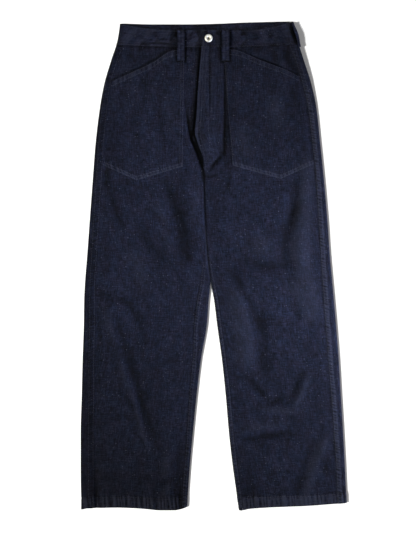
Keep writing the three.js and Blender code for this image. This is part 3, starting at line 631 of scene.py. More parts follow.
def fly_lift(side, x, y):
    """How far the left front lies above the right one, where it laps over it and just beyond."""
    if side is RIGHT:
        return np.zeros_like(x)
    past = x - fly_edge_at(y) - FLY_LAP - 0.004
    return FLY_STEP * ease((y - CROTCH) / (FLY_LAP_START - CROTCH)) * (1 - ease(past / FLY_FADE))


def band_lift(side, x, y):
    """How far the left end of the waistband lies above the right one."""
    if side is RIGHT:
        return np.zeros_like(x)
    return BAND_STEP * (1 - ease((x - BAND_UNDERLAP_END - 0.004) / BAND_FADE))


def back_height(x, y):
    """Height of the back's underside: on the table, and lifted at the waist, most at its left end."""
    band = BAND_CLEARANCE * ease((y - LIFT_START) / LIFT_LENGTH)
    corner = ease((x - CORNER_X) / CORNER_WIDTH) * ease((y - CORNER_Y) / CORNER_LENGTH)
    return band + CORNER_LIFT * corner


def fly_streak(x, y):
    """The fine lengthwise streaks of the fly, gathered by its rows of stitches."""
    low, high = fly_edge_at(y), fly_facing_at(y)
    on_fly = between(x, low + 0.002, high, 0.006) * ease((y - FLY_FOOT) / 0.012) * ease((0.478 - y) / 0.010)
    aside = x - 0.6 * low
    lengths = 0.6 + 0.4 * pucker(y + 4 * x, 15, PITCH["fly swell"])
    streaks = pucker(aside, 3, PITCH["fly streak"]) + 0.6 * pucker(aside, 9, PITCH["fly streak, finer"])
    return STREAK * on_fly * streaks * lengths


def fly_form(side, x, y):
    """The dip of the right front beside the fly, and the puff of the left front at the foot of the fly."""
    if side is RIGHT:
        width = fly_gap_width_at(y)
        aside = (x - fly_gap_at(y)) / np.where(x > fly_gap_at(y), 2.2 * width, width)
        return -fly_gap_depth_at(y) * bell(aside, 1.0) * ease((y - 0.172) / 0.02)
    low, high = fly_edge_at(y), fly_facing_at(y)
    across = np.clip((x - low) / np.maximum(high - low, 0.004), 0, 1)
    along = bell(y - FLY_PUFF_Y, FLY_PUFF_LENGTH) * ease((y - 0.204) / 0.010)
    return FLY_PUFF_RISE * np.sin(math.pi * across) ** 0.8 * along + fly_streak(x, y)


def front_height(side, x, y):
    """Height of the front's face: the edge height eased into the loft across the panel, with the folds on
    it."""
    from_outer = (side.outer(y) - x) * side.out - ROLL
    from_inner = (x - side.inner(y)) * side.out - ROLL
    outer_share = ease(from_outer / OUTER_RISE)
    inner_share = mix(1.0, ease(from_inner / INNER_RISE), leg_share(y))
    folds = fold_height(x, y, FOLDS)
    near_edge = ease(from_outer / (0.3 * OUTER_RISE)) * mix(1.0, ease(from_inner / 0.008), leg_share(y))
    creased = crease_height(x, y)
    creased = np.where(creased < 0, -CREASE_LIMIT * np.tanh(-creased / CREASE_LIMIT), creased)
    puff = PUFF * outer_share * inner_share * (1 - ease((y - PUFF_TOP) / 0.070))
    inside = (side.outer(y) - x) * side.out - side.outseam(y) + 0.0019 - TROUGH_INSIDE
    trough = side.trough(y) * bell(inside, TROUGH_WIDTH)
    small = near_edge * (creased + rumple(x, y)) + fly_form(side, x, y) + puff - trough
    folded = mix(side.edge(y), loft_at(y), outer_share) + folds * outer_share
    return back_height(x, y) + mix(INNER_EDGE_HEIGHT, folded, inner_share) + small + HEM_RISE * hem_share(y)


def quarter_roll(tip_x, inward, tip_z, flat_z, tip_front, front):
    """A quarter of an ellipse in from an edge: x goes in by the roll times 1 - cos a and z from the tip
    to the flat by sin a. The last column is 1 on the front, 0 on the back and one half at a rolled tip."""
    turn = np.arange(ARC_POINTS) / ARC_POINTS
    angle = turn * math.pi / 2
    x = tip_x + inward * ROLL * (1 - np.cos(angle))
    z = mix(tip_z, flat_z, np.sin(angle))
    return np.stack([x, z, mix(tip_front, front, turn) + 0 * x], axis=-1)


def rings_at(side, y, start_x, lift):
    """The rings that the cloth makes at heights y, one a row, as x, z and share of front: over the front
    from start_x, round the outer edge, under the back to the inner edge, and up over the front again."""
    y = np.asarray(y, float)[:, None]
    start_x = np.broadcast_to(np.asarray(start_x, float).reshape(-1, 1), y.shape)
    outer, inner, leg = side.outer(y), side.inner(y), leg_share(y)
    outer_flat = outer - side.out * ROLL
    inner_flat = inner + side.out * ROLL
    start_flat = start_x + side.out * ROLL

    def top(x):
        return front_height(side, x, y) + lift(side, x, y)

    outer_tip = (top(outer_flat) + back_height(outer_flat, y)) / 2
    inner_tip = INNER_EDGE_HEIGHT / 2
    start_tip = mix(top(start_flat), inner_tip, leg)
    end_tip = mix(back_height(inner, y), inner_tip, leg)
    start_roll = quarter_roll(start_x, side.out, start_tip, top(start_flat), mix(1.0, 0.5, leg), 1.0)
    top_roll = quarter_roll(outer, -side.out, outer_tip, top(outer_flat), 0.5, 1.0)[:, ::-1]
    under_roll = quarter_roll(outer, -side.out, outer_tip, back_height(outer_flat, y), 0.5, 0.0)
    end_share = mix(0.0, 0.5, leg)
    end_roll = quarter_roll(inner, side.out, end_tip, back_height(inner_flat, y), end_share, 0.0)[:, ::-1]
    share = np.linspace(0, 1, FLAT_POINTS + 1)
    top_x = mix(start_flat, outer_flat, share)
    under_x = mix(outer_flat, inner_flat, share)
    flat_top = np.stack([top_x, top(top_x), 1 + 0 * top_x], axis=-1)
    flat_under = np.stack([under_x, back_height(under_x, y), 0 * under_x], axis=-1)
    again = np.concatenate([start_roll, flat_top[:, : FLAT_POINTS // 2]], axis=1)[:, 1:]
    parts = [start_roll, flat_top, top_roll, under_roll[:, 1:], flat_under, end_roll, again]
    points = np.concatenate(parts, axis=1)
    steps = np.hypot(np.diff(points[..., 0], axis=1), np.diff(points[..., 1], axis=1))
    travel = np.concatenate([np.zeros_like(y), np.cumsum(steps, axis=1)], axis=1)
    roll_start = ARC_POINTS + FLAT_POINTS
    tip = roll_start + ARC_POINTS
    roll_end = tip + ARC_POINTS
    floor_end = roll_end + FLAT_POINTS
    end = floor_end + ARC_POINTS
    marks = dict(roll_start=roll_start, tip=tip, roll_end=roll_end, floor_end=floor_end, end=end)
    stops = {mark: travel[:, i : i + 1] for mark, i in marks.items()}
    return SimpleNamespace(points=points, travel=travel, **stops)


def read_rings(rings, distance):
    """The points at distances along the rings, rows by columns, between the two ring points beside each.
    The rings are set far apart on one line, so that one interpolation reads them all."""
    apart = np.arange(len(rings.travel))[:, None] * ROW_APART
    at = (rings.travel + apart).ravel()
    want = np.clip(distance, 0, rings.travel[:, -1:]) + apart
    columns = [np.interp(want.ravel(), at, rings.points[..., i].ravel()) for i in range(3)]
    return np.stack(columns, axis=-1).reshape(*distance.shape, 3)


def front_start(side, y):
    """Where a front starts: at its fly edge, or at the crotch and below it at the inner edge."""
    lapped = fly_edge_at(y) + (FLY_LAP if side is RIGHT else 0)
    return mix(side.inner(y), lapped, ease((y - FLY_LAP_START) / (FLY_LAP_FULL - FLY_LAP_START)))


def leaned_y(side, x, front, y):
    """Rows near the ends of the cloth lean towards the lines of the waist seam and the leg end."""
    waist = ease((y - WAIST_SEAM + END_LEAN) / END_LEAN)
    hem = ease((HEM_END + END_LEAN - y) / END_LEAN)
    waist_shift = mix(BACK_SEAM, front_seam_at(x), front) - WAIST_SEAM
    hem_shift = side.hem(x) + BACK_HEM_SHORT * (1 - front) - HEM_END
    return y + waist * waist_shift + hem * hem_shift


def spans(*stops):
    """Distances along the rings, rows by columns: equal cells between each stop and the next. Every stop
    but the first is a pair of its distance, a column, and the number of cells up to it."""
    start, columns = stops[0], []
    for stop, cells in stops[1:]:
        columns.append(mix(start, stop, np.arange(cells) / cells))
        start = stop
    return np.concatenate([*columns, start + 0 * columns[0][:, :1]], axis=1)


def normals_of(grid, turn):
    """Outward unit normals of a grid of points: across its columns times down its rows, turned by the
    sign."""
    return turn * unit(np.cross(np.gradient(grid, axis=1), np.gradient(grid, axis=0)))


# The cloth's surfaces. Each gives points, rows by columns, and the wear and painted shade there: more than 0
# on rubbed crests and painted light, and less in the painted shade of creases, gaps and seam lines.

def hem_relief(side, x, y):
    """The roped leg end: slanting puckers across the turning, deepest along its stitched edge."""
    from_end = y - HEM_END
    rope = pucker(x + 0.12 * y, side.seed + 3, PITCH["hem"])
    rope = rope + 0.5 * pucker(x - 0.1 * y, side.seed + 4, PITCH["hem, finer"])
    on_hem = between(from_end, 0.0, HEM_DEPTH, 0.004)
    above = dying(from_end - HEM_DEPTH, 0.012) * (from_end > HEM_DEPTH)
    groove = bell(from_end - HEM_DEPTH + EDGE_ROW, 0.0012)
    height = ROPE_RISE["hem"] * rope * (on_hem + 0.5 * above) - STITCH_LINE["hem"] * groove
    rubbed = on_hem * (HEM_FADE[side.name] + 0.95 * np.clip(rope, -0.8, 1))
    return height, rubbed + 0.25 * above * rope - 0.5 * groove


def seam_relief(y, aside, inside, width, rise, fade, shade, seed):
    """A felled seam: a ridge on the side that is aside of its edge, puckered across, with the puckers
    dying away over the cloth beyond it. aside is the distance over the ridge's side and inside that on
    the other side. fade is how far its crests have paled, less near the waist, and shade how dark the
    painted shade of the line beside it is; below 0 it paints light there instead."""
    rope = pucker(y + 0.30 * aside, seed, PITCH["seam"])
    ridge = between(aside, 0.0004, width, 0.0012)
    fade = fade * (1 - 0.75 * ease((y - 0.320) / 0.120))
    rims = bell(aside - SEAM_ROW, 0.0012) + bell(aside - width + SEAM_ROW, 0.0012)
    near = dying(inside, 0.006) * (inside >= 0)
    past = dying(aside - width, 0.005) * (aside > width)
    height = rise * ridge * (1 + 0.5 * rope) - 0.00025 * rims * ridge
    height = height + ROPE_RISE["seam"] * rope * (near + past)
    rubbed = 0.8 * fade - 0.15 + (0.5 + 1.2 * fade) * rope + 0.5 * fade * rims
    return height, ridge * rubbed + 0.35 * rope * near - shade * bell(inside, 0.0012) * (inside >= 0)


def outseam_relief(side, y, aside, inside):
    """The outseam's ridge on one side."""
    width, rise = RIDGE_WIDTH[side.name], RIDGE_RISE[side.name]
    return seam_relief(y, aside, inside, width, rise, SEAM_FADE[side.name], SEAM_SHADE[side.name], side.seed)


def inseam_relief(side, y, aside, inside):
    """The inseam's ridge on one side."""
    return seam_relief(
        y, aside, inside, INSEAM_RIDGE_WIDTH, INSEAM_RIDGE_RISE, INSEAM_FADE, INSEAM_SHADE, side.seed + 1
    )


def loop_painted_shadow(side, x, y):
    """The painted shadow round a front loop: most along its edges, and 0 away from them and under it."""
    from_side = np.abs(x - FRONT_LOOP_X[side.name]) - LOOP_WIDTH / 2
    from_end = LOOP_BOTTOM - y
    away = np.maximum(from_side, from_end)
    return 1.3 * bell(away - 0.0008, 0.0030) * (from_end < 0.006)


def meeting_painted_shade(y):
    """Painted shade where the legs meet below the fly, and painted light on the join further down."""
    return 0.8 - 1.4 * ease((0.112 - y) / 0.040)


def pressed_share(y):
    """1 where the legs press together, between the crotch and the fork, and 0 above and below."""
    return leg_share(y) * ease((y - FORK + 0.004) / 0.010)


def fly_relief(x, y):
    """The left front's own relief and wear at the fly: its facing, its lapped edge and its row of
    stitches."""
    facing = ease((fly_facing_at(y) - x) / 0.004) * ease((y - FLY_FOOT) / 0.012)
    from_edge = x - fly_edge_at(y)
    from_row = x - fly_stitch_at(y)
    row_groove = bell(from_row, 0.0011) * between(y, 0.222, WAIST_SEAM, 0.008)
    lap_end = ease((y - 0.235) / 0.030)
    lap_edge = dying(from_edge, 0.004) * lap_end
    on_lap = between(from_edge, 0.0, 0.0145, 0.004) * lap_end
    rope = pucker(y, LEFT.seed + 7, PITCH["fly row"])
    near_row = np.exp(-np.abs(from_row) / 0.006) * facing
    height = FACING_RISE * facing + LAP_EDGE_RISE * lap_edge - FLY_ROW_GROOVE * row_groove
    height = height + ROPE_RISE["fly row"] * rope * near_row
    wear = 0.30 * near_row * (0.2 + rope) + 0.25 * lap_edge + 0.10 * facing + 0.12 * on_lap
    return height, wear + (0.26 + 0.30 * on_lap) * fly_streak(x, y) / STREAK


def mouth_groove(side, x, y):
    """The front's dip above the pocket's mouth, from 0 to 1."""
    split = side.split(y)
    share = np.clip((x - split) / (side.outseam_x(y) - split), 0, 1)
    above = y - side.mouth(share) - 0.0016
    groove = bell(above, MOUTH_GROOVE_WIDTH) * np.sin(math.pi * np.clip(share, 0.02, 0.98)) ** 0.4
    return groove * (side.out * (x - split) > 0)


def bare_panel(side, y, start_x, distance_of):
    """A panel's face before its relief: its rings, and the columns' distances along them, with the places
    x, the shares of front, the rows and the points."""
    rings = rings_at(side, y, start_x, fly_lift)
    distance = distance_of(rings)
    place = read_rings(rings, distance)
    x, z, front = place[..., 0], place[..., 1], place[..., 2]
    rows = np.asarray(y)[:, None]
    grid = np.stack([x, leaned_y(side, x, front, rows), z], axis=-1)
    return rings, distance, x, front, rows, grid


def front_surface(side, y, distance_of):
    """The outer face of a front. distance_of gives the columns' distances from the rings."""
    rings, distance, x, _, rows, grid = bare_panel(side, y, front_start(side, y), distance_of)
    nowhere = np.full(distance.shape, -1.0)
    height, wear = outseam_relief(side, rows, nowhere, rings.tip - side.outseam(rows) - distance)
    more, worn_and_shaded = inseam_relief(side, rows, nowhere, distance - side.inseam(rows))
    apart = leg_share(rows) * (1 - pressed_share(rows))
    at_tip = pressed_share(rows) * bell(distance, 0.0035)
    # painted shade and light along the join of the legs
    height, wear = height + apart * more, wear + apart * worn_and_shaded - meeting_painted_shade(rows) * at_tip
    more, worn_and_shaded = hem_relief(side, x, rows)
    height, wear = height + more, wear + worn_and_shaded
    gathers = dying(WAIST_SEAM - rows, 0.014) * pucker(x, side.seed + 6, PITCH["under band"])
    height, wear = height + ROPE_RISE["under band"] * gathers, wear + 0.3 * gathers
    if side is LEFT:
        more, worn_and_shaded = fly_relief(x, rows)
        height, wear = height + more, wear + worn_and_shaded
    else:
        # painted shade in the gap beside the fly, darkest where the right front dips deepest
        wear = wear - 1.2 * np.clip(-fly_form(side, x, rows) / 0.0022, 0, 1)
    dip = MOUTH_GROOVE[side.name] * mouth_groove(side, x, rows)
    # the dip above the pocket's mouth is also painted dark, as its shade
    height, wear = height - dip, wear - 500 * dip
    # painted shade in the sunken creases, and paler rubbed crests on the raised ones
    wear = wear + np.clip(crease_height(x, rows) / CREASE_SHADE, -0.8, 0.35)
    # painted shadow round the front loops
    wear = wear - LOOP_SHADOW_PAINT * loop_painted_shadow(side, x, rows)
    # painted shade along the foot of the waistband
    wear = wear - BAND_SHADE[side.name] * dying(front_seam_at(x) - rows, 0.0030)
    return grid + normals_of(grid, -side.out) * height[..., None], wear, distance


def back_surface(side, y, distance_of):
    """The outer face of a back: round both edges, flat on the table between them, with its creases
    pressed inwards there."""
    rings, distance, x, front, rows, grid = bare_panel(side, y, side.inner(np.asarray(y)), distance_of)
    nowhere = np.full(distance.shape, -1.0)
    outseam = rings.tip - side.outseam(rows)
    height, wear = outseam_relief(side, rows, distance - outseam, nowhere)
    more, worn_and_shaded = inseam_relief(side, rows, rings.end + side.inseam(rows) - distance, nowhere)
    pressed_legs = pressed_share(rows)
    at_tip = pressed_legs * bell(np.minimum(distance, np.abs(rings.end - distance)), 0.0035)
    fold_over = ease(side.inseam(rows) / 0.008) * (1 - 0.7 * pressed_legs) * (1 - at_tip)
    height, wear = height + fold_over * more, wear + fold_over * worn_and_shaded - meeting_painted_shade(rows) * at_tip
    more, worn_and_shaded = hem_relief(side, x, rows)
    height, wear = height + more, wear + worn_and_shaded
    under = 1 - ease(front / 0.3)
    on_table = under * (1 - ease((rows - LIFT_START) / 0.06))
    seat_seam = ease((rows - CROTCH) / 0.01) * bell((distance - rings.end) * (1 - leg_share(rows)), 0.0016)
    pressed = 0.0012 * np.clip(waves(x, rows, 0.018, 0.060, 1.5, side.seed + 9), 0, 1) ** 2
    pressed = pressed * under * between(distance, rings.roll_end, rings.end - 0.004, 0.016)
    height = height * (1 - on_table) - pressed - 0.0005 * seat_seam
    height = np.where(front < 0.3, np.minimum(height, mix(0.0006, 0.0, on_table)), height)
    wear = wear * (1 - 0.6 * on_table) - 0.4 * seat_seam
    # painted shade along the right leg's outer edge, which turns away from the light
    if side is RIGHT:
        wear = wear - 0.22 * ease(front / 0.5) * dying(outseam - distance, 0.5)
    return grid + normals_of(grid, -side.out) * height[..., None], wear, distance


def pocket_height(side, x, y, share, down):
    """Height of a patch pocket's face: the front's own height, its cloth, a soft belly and a mouth that
    stands a little open."""
    open_mouth = MOUTH_LIFT[side.name] * (1 - ease(down * 5)) * np.sin(math.pi * share)
    belly = POCKET_BELLY * np.sin(math.pi * share) * np.sin(math.pi * down)
    base = front_height(side, x, y) + fly_lift(side, x, y)
    return base + SEAM_GAP + cloth_depth() + open_mouth + belly


def pocket_surface(side, share, down):
    """The outer face of a pocket, by the share across it and the share down it."""
    y = mix(side.mouth(share), side.bottom(share), down)
    near, far = side.split(y), side.outseam_x(y)
    x = mix(near, far, share)
    z = pocket_height(side, x, y, share, down)
    from_side = share * np.abs(far - near)
    from_bottom = (y - side.bottom(share)) * BOTTOM_SLANT
    from_mouth = (side.mouth(share) - y) * MOUTH_SLANT
    height, wear = 0.0, 0.0
    for reach, rope, width, fade in (
        (from_side, pucker(y, side.seed + 12, PITCH["pocket side"]), RIM_WIDTH, RIM_FADE["side"]),
        (
            from_bottom, pucker(x + 0.3 * y, side.seed + 13, PITCH["pocket bottom"]),
            RIM_WIDTH, RIM_FADE["bottom"],
        ),
        (from_mouth, pucker(x, side.seed + 14, PITCH["pocket mouth"]), POCKET_HEM, MOUTH_FADE[side.name]),
    ):
        rim = between(reach, 0.0, width, 0.0014)
        groove = bell(reach - SEAM_ROW, 0.0007) + bell(reach - width + RIM_ROW, 0.0007)
        beyond = dying(reach - width, 0.005) * (reach > width)
        height = height + RIM_RISE * rim * (1 + 0.5 * rope) - STITCH_LINE["rim"] * groove
        height = height + ROPE_RISE["rim"] * rope * beyond
        wear = wear + fade * (rim * (0.30 + 0.60 * rope) + 0.30 * rope * beyond)
    down_edge = 0.00035 * np.exp(-np.minimum(from_side, from_bottom) / 0.0009)
    wear = np.clip(wear, -0.6, 1.0) + 0.35 * np.exp(-from_bottom / 0.006)
    # painted shade in the sunken creases and painted shadow round the loops, with paler rubbed crests
    wear = wear + np.clip(crease_height(x, y) / CREASE_SHADE, -0.8, 0.3) - LOOP_SHADOW_PAINT * loop_painted_shadow(side, x, y)
    return np.stack([x, y, z + height - down_edge], axis=-1), wear


def band_columns(rings):
    """Distances along the waistband: closest together round the outer edge and where it laps."""
    start = 0 * rings.tip
    return spans(start, (start + 0.06, 30), (rings.roll_start, 70), (rings.roll_end, 10), (rings.end, 72))


def band_rows(side, start_x, share):
    """Rows of the waistband's face on one side, at shares of its height, and their distances from the
    outer edge."""
    y = mix(WAIST_SEAM, BAND_BACK_TOP[-1][1], share)
    rings = rings_at(side, y, start_x, band_lift)
    distance = band_columns(rings)
    place = read_rings(rings, distance)
    x, z, front = place[..., 0], place[..., 1], place[..., 2]
    rows = share[:, None]
    front_y = mix(front_seam_at(x) + SEAM_GAP, band_front_top_at(x), rows)
    back_y = mix(BACK_SEAM + SEAM_GAP, band_back_top_at(x), rows)
    return np.stack([x, mix(back_y, front_y, front), z], axis=-1), distance - rings.tip


# Blender meshes

def settings():
    """The sizes that the panel shows."""
    return bpy.context.scene.jeans_cloth


def cloth_depth():
    """Thickness of one layer of denim."""
    return settings().cloth


def new_object(name, vertices, faces):
    """An object at the origin with its mesh from an array of places and a list of faces."""
    mesh = bpy.data.meshes.new(name)
    mesh.from_pydata(vertices.tolist(), [], faces)
    piece = bpy.data.objects.new(name, mesh)
    bpy.context.scene.collection.objects.link(piece)
    return piece


def smooth(piece, degrees=None):
    """Smooth shading, with sharp edges where faces meet at more than the angle, if one is given."""
    piece.data.polygons.foreach_set("use_smooth", np.ones(len(piece.data.polygons), bool))
    if degrees:
        piece.data.set_sharp_from_angle(angle=math.radians(degrees))


def write_cloth_data(piece, uv, wear):
    """Puts the cloth's own coordinates, in metres, into a UV map, and its wear and painted shade into an
    attribute.
    """
    mesh = piece.data
    corner = np.empty(len(mesh.loops), np.int32)
    mesh.loops.foreach_get("vertex_index", corner)
    layer = mesh.uv_layers.new(name="cloth")
    layer.data.foreach_set("uv", uv[corner].astype(np.float32).ravel())
    attribute = mesh.attributes.new("wear", "FLOAT", "POINT")
    attribute.data.foreach_set("value", wear.astype(np.float32).ravel())


def wall(name, outer, depth, turn, uv, wear, inner_wear=0.0):
    """A closed wall: the outer grid, the same grid moved inwards along its normals by the depth, and four
    rims."""
    inner = outer - normals_of(outer, turn) * np.broadcast_to(depth, outer.shape[:2])[..., None]
    rows, columns = outer.shape[:2]
    count = rows * columns
    index = np.arange(count).reshape(rows, columns)
    a, b, c, d = (part.ravel() for part in (index[:-1, :-1], index[1:, :-1], index[1:, 1:], index[:-1, 1:]))
    edge = np.concatenate([index[0, :-1], index[:-1, -1], index[-1, :0:-1], index[:0:-1, 0]])
    following = np.roll(edge, -1)
    faces = np.concatenate(
        [
            np.stack([a, b, c, d], axis=1),
            np.stack([a, d, c, b], axis=1) + count,
            np.stack([edge, following, following + count, edge + count], axis=1),
        ]
    )
    if turn > 0:
        faces = faces[:, ::-1]
    vertices = np.concatenate([outer.reshape(-1, 3), inner.reshape(-1, 3)])
    piece = new_object(name, vertices, faces.tolist())
    smooth(piece, 52)
    flat_uv, flat_wear_and_shade = uv.reshape(-1, 2), np.broadcast_to(wear, outer.shape[:2]).reshape(-1)
    write_cloth_data(piece, np.tile(flat_uv, (2, 1)), np.concatenate([flat_wear_and_shade, 0 * flat_wear_and_shade + inner_wear]))
    return piece


def dress(piece, node, material):
    """Gives a piece its material, makes it ride on the garment and lets it stand for its node."""
    piece.data.materials.append(material)
    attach(piece, BODY)
    if node:
        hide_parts(node)
    return piece


def outseam_curve(side):
    """The place x of the outseam on the front, read from the rings at heights all down the leg."""
    y = np.linspace(HEM_END, BAND_BACK_TOP[-1][1], 120)
    rings = rings_at(side, y, front_start(side, y), fly_lift)
    place = read_rings(rings, rings.tip - side.outseam(y[:, None]) - SEAM_GAP / 2)
    return lambda at: np.interp(at, y, place[:, 0, 0])


# Each side's outseam is read once, and then belongs to its curves
for each_side in SIDES:
    each_side.outseam_x = outseam_curve(each_side)


# Thread

def thread_row(points, normals, stitch, gap):
    """Stitches along a line on the cloth: arrays of each stitch's sections, as places, normals and
    directions."""
    steps = np.linalg.norm(np.diff(points, axis=0), axis=1)
    travel = np.concatenate([[0.0], np.cumsum(steps)])
    starts = np.arange(0.3 * gap, travel[-1] - stitch, stitch + gap)
    at = starts[:, None] + stitch * np.linspace(0, 1, STITCH_RINGS)
    place = np.stack([np.interp(at, travel, points[:, i]) for i in range(3)], axis=-1)
    normal = np.stack([np.interp(at, travel, normals[:, i]) for i in range(3)], axis=-1)
    heading = unit(place[:, -1:] - place[:, :1])
    return place, unit(normal), np.broadcast_to(heading, place.shape)


def thread_piece(name, rows, material):
    """One mesh of many stitches. Each is wide in the middle and drawn down into the cloth at its ends,
    with its rings at the place plus cos a across and sin a up, times the thread's half width."""
    cloth = settings()
    half = cloth.thread / 2
    sets = [thread_row(points, normals, cloth.stitch, cloth.stitch_gap) for points, normals in rows]
    place, normal, heading = (np.concatenate([one[i] for one in sets]) for i in range(3))
    across = np.cross(heading, normal)
    size = half * np.array([0.45, 1.0, 1.0, 0.45])[None, :, None, None]
    rise = half * np.array([-0.9, 0.35, 0.35, -0.9])[None, :, None, None]
    angle = 2 * math.pi * np.arange(STITCH_SIDES) / STITCH_SIDES
    ring = across[:, :, None] * np.cos(angle)[:, None] + 0.8 * normal[:, :, None] * np.sin(angle)[:, None]
    vertices = place[:, :, None] + size * ring + rise * normal[:, :, None]
    base = np.arange(STITCH_RINGS * STITCH_SIDES).reshape(STITCH_RINGS, STITCH_SIDES)
    turned = np.roll(base, -1, axis=1)
    sides = np.stack([base[:-1], turned[:-1], turned[1:], base[1:]], axis=-1).reshape(-1, 4)
    offsets = (np.arange(len(place)) * base.size)[:, None, None]
    quads = (sides[None] + offsets).reshape(-1, 4).tolist()
    caps = (np.stack([base[0][::-1], base[-1]])[None] + offsets).reshape(-1, STITCH_SIDES).tolist()
    piece = new_object(name, vertices.reshape(-1, 3), quads + caps)
    smooth(piece)
    return dress(piece, None, material)


def straight_up(count):
    """That many normals that point up from the table."""
    return np.tile([0.0, 0.0, 1.0], (count, 1))


def ring_thread(surface, side, y, distance):
    """A thread line down a panel, at a distance along its rings for each height."""
    reach = 0.0012
    grid = surface(side, y, lambda rings: distance(rings) + np.array([[-reach, 0.0, reach]]))[0]
    across = grid[:, 2] - grid[:, 0]
    down = np.gradient(grid[:, 1], axis=0)
    return grid[:, 1], unit(-side.out * np.cross(across, down))


def flat_thread(surface, first, second):
    """A thread line on a surface of two parameters that faces up, given as arrays of both."""
    points = surface(first, second)
    return points, straight_up(len(points))


def bar_tack(surface, centre, across, turns=9):
    """A bar tack: a tight zigzag of thread across a line, as points on the surface."""
    share = np.repeat(np.linspace(-0.5, 0.5, turns), 2)
    swing = np.tile([-1, 1, 1, -1], turns)[: len(share)]
    line = np.array(centre) + share[:, None] * np.array(across)
    side_step = np.array([-across[1], across[0]]) / np.hypot(*across) * 0.0011
    line = line + swing[:, None] * side_step
    return flat_thread(surface, line[:, 0], line[:, 1])


# Materials

def link(tree, start, end):
    """Joins a node's output socket to another's input."""
    tree.links.new(start, end)


def new_material(name):
    """A material with its node tree and its shader."""
    material = bpy.data.materials.new(name)
    material.use_nodes = True
    return material, material.node_tree, material.node_tree.nodes["Principled BSDF"]


def set_inputs(node, **values):
    """Sets a node's input values, each named by its label with lines for spaces."""
    for key, value in values.items():
        node.inputs[key.replace("_", " ")].default_value = value


def add_node(tree, kind, **values):
    """A node with its properties set."""
    made = tree.nodes.new(kind)
    for key, value in values.items():
        setattr(made, key, value)
    return made


def feed(tree, socket, value):
    """Gives an input socket a number or colour, or joins it to another node's output."""
    if isinstance(value, bpy.types.NodeSocket):
        link(tree, value, socket)
    else:
        socket.default_value = value


def blend(tree, factor, a, b):
    """A colour mixed from two sockets or colours, at a factor from another socket."""
    made = add_node(tree, "ShaderNodeMix", data_type="RGBA")
    for place, value in ((0, factor), (6, a), (7, b)):
        feed(tree, made.inputs[place], value)
    return made.outputs[2]


def maths(tree, kind, *values):
    """One step of arithmetic on sockets or numbers."""
    made = add_node(tree, "ShaderNodeMath", operation=kind)
    for socket, value in zip(made.inputs, values):
        feed(tree, socket, value)
    return made.outputs[0]


def scaled_colour(tree, colour, factor):
    """A colour times a factor."""
    made = add_node(tree, "ShaderNodeVectorMath", operation="SCALE")
    link(tree, colour, made.inputs[0])
    link(tree, factor, made.inputs["Scale"])
    return made.outputs[0]


def spread(tree, uv, cells):
    """The cloth's own coordinates times a number of cells for each metre across and along."""
    mapping = add_node(tree, "ShaderNodeMapping")
    mapping.inputs["Scale"].default_value = (*cells, 1.0)
    link(tree, uv, mapping.inputs["Vector"])
    return mapping.outputs[0]


def spread_noise(tree, uv, cells, detail, rough):
    """Noise on the cloth's own coordinates, with cells for each metre across and along."""
    noise = add_node(tree, "ShaderNodeTexNoise", noise_dimensions="2D")
    set_inputs(noise, Scale=1.0, Detail=detail, Roughness=rough)
    link(tree, spread(tree, uv, cells), noise.inputs["Vector"])
    return noise.outputs[0]


def tinted(colour, factors):
    """A colour with its three channels multiplied."""
    return (*[channel * factor for channel, factor in zip(colour, factors)], 1.0)


def stretch_range(tree, value, low, high, to_low=0.0, to_high=1.0):
    """A value between low and high, taken to the other range and kept inside it."""
    made = tree.nodes.new("ShaderNodeMapRange")
    link(tree, value, made.inputs[0])
    for place, number in zip((1, 2, 3, 4), (low, high, to_low, to_high)):
        made.inputs[place].default_value = number
    return made.outputs[0]


def denim_specks(tree, uv, mottle):
    """Pale specks of waste yarn: the middles of a few cells, more of them where the mottling is pale."""
    cells = add_node(tree, "ShaderNodeTexVoronoi", voronoi_dimensions="2D")
    set_inputs(cells, Scale=1.0, Randomness=1.0)
    link(tree, spread(tree, uv, SPECK_CELLS), cells.inputs["Vector"])
    pick = add_node(tree, "ShaderNodeSeparateColor")
    link(tree, cells.outputs["Color"], pick.inputs[0])
    crowd = stretch_range(tree, mottle, 0.35, 0.65, 0.985, 0.93)
    chosen = maths(tree, "GREATER_THAN", pick.outputs[0], crowd)
    size = stretch_range(tree, pick.outputs[1], 0.0, 1.0, 0.10, 0.26)
    near = maths(tree, "LESS_THAN", cells.outputs["Distance"], size)
    bright = stretch_range(tree, pick.outputs[2], 0.0, 1.0, 0.12, 0.60)
    return maths(tree, "MULTIPLY", maths(tree, "MULTIPLY", chosen, near), bright)


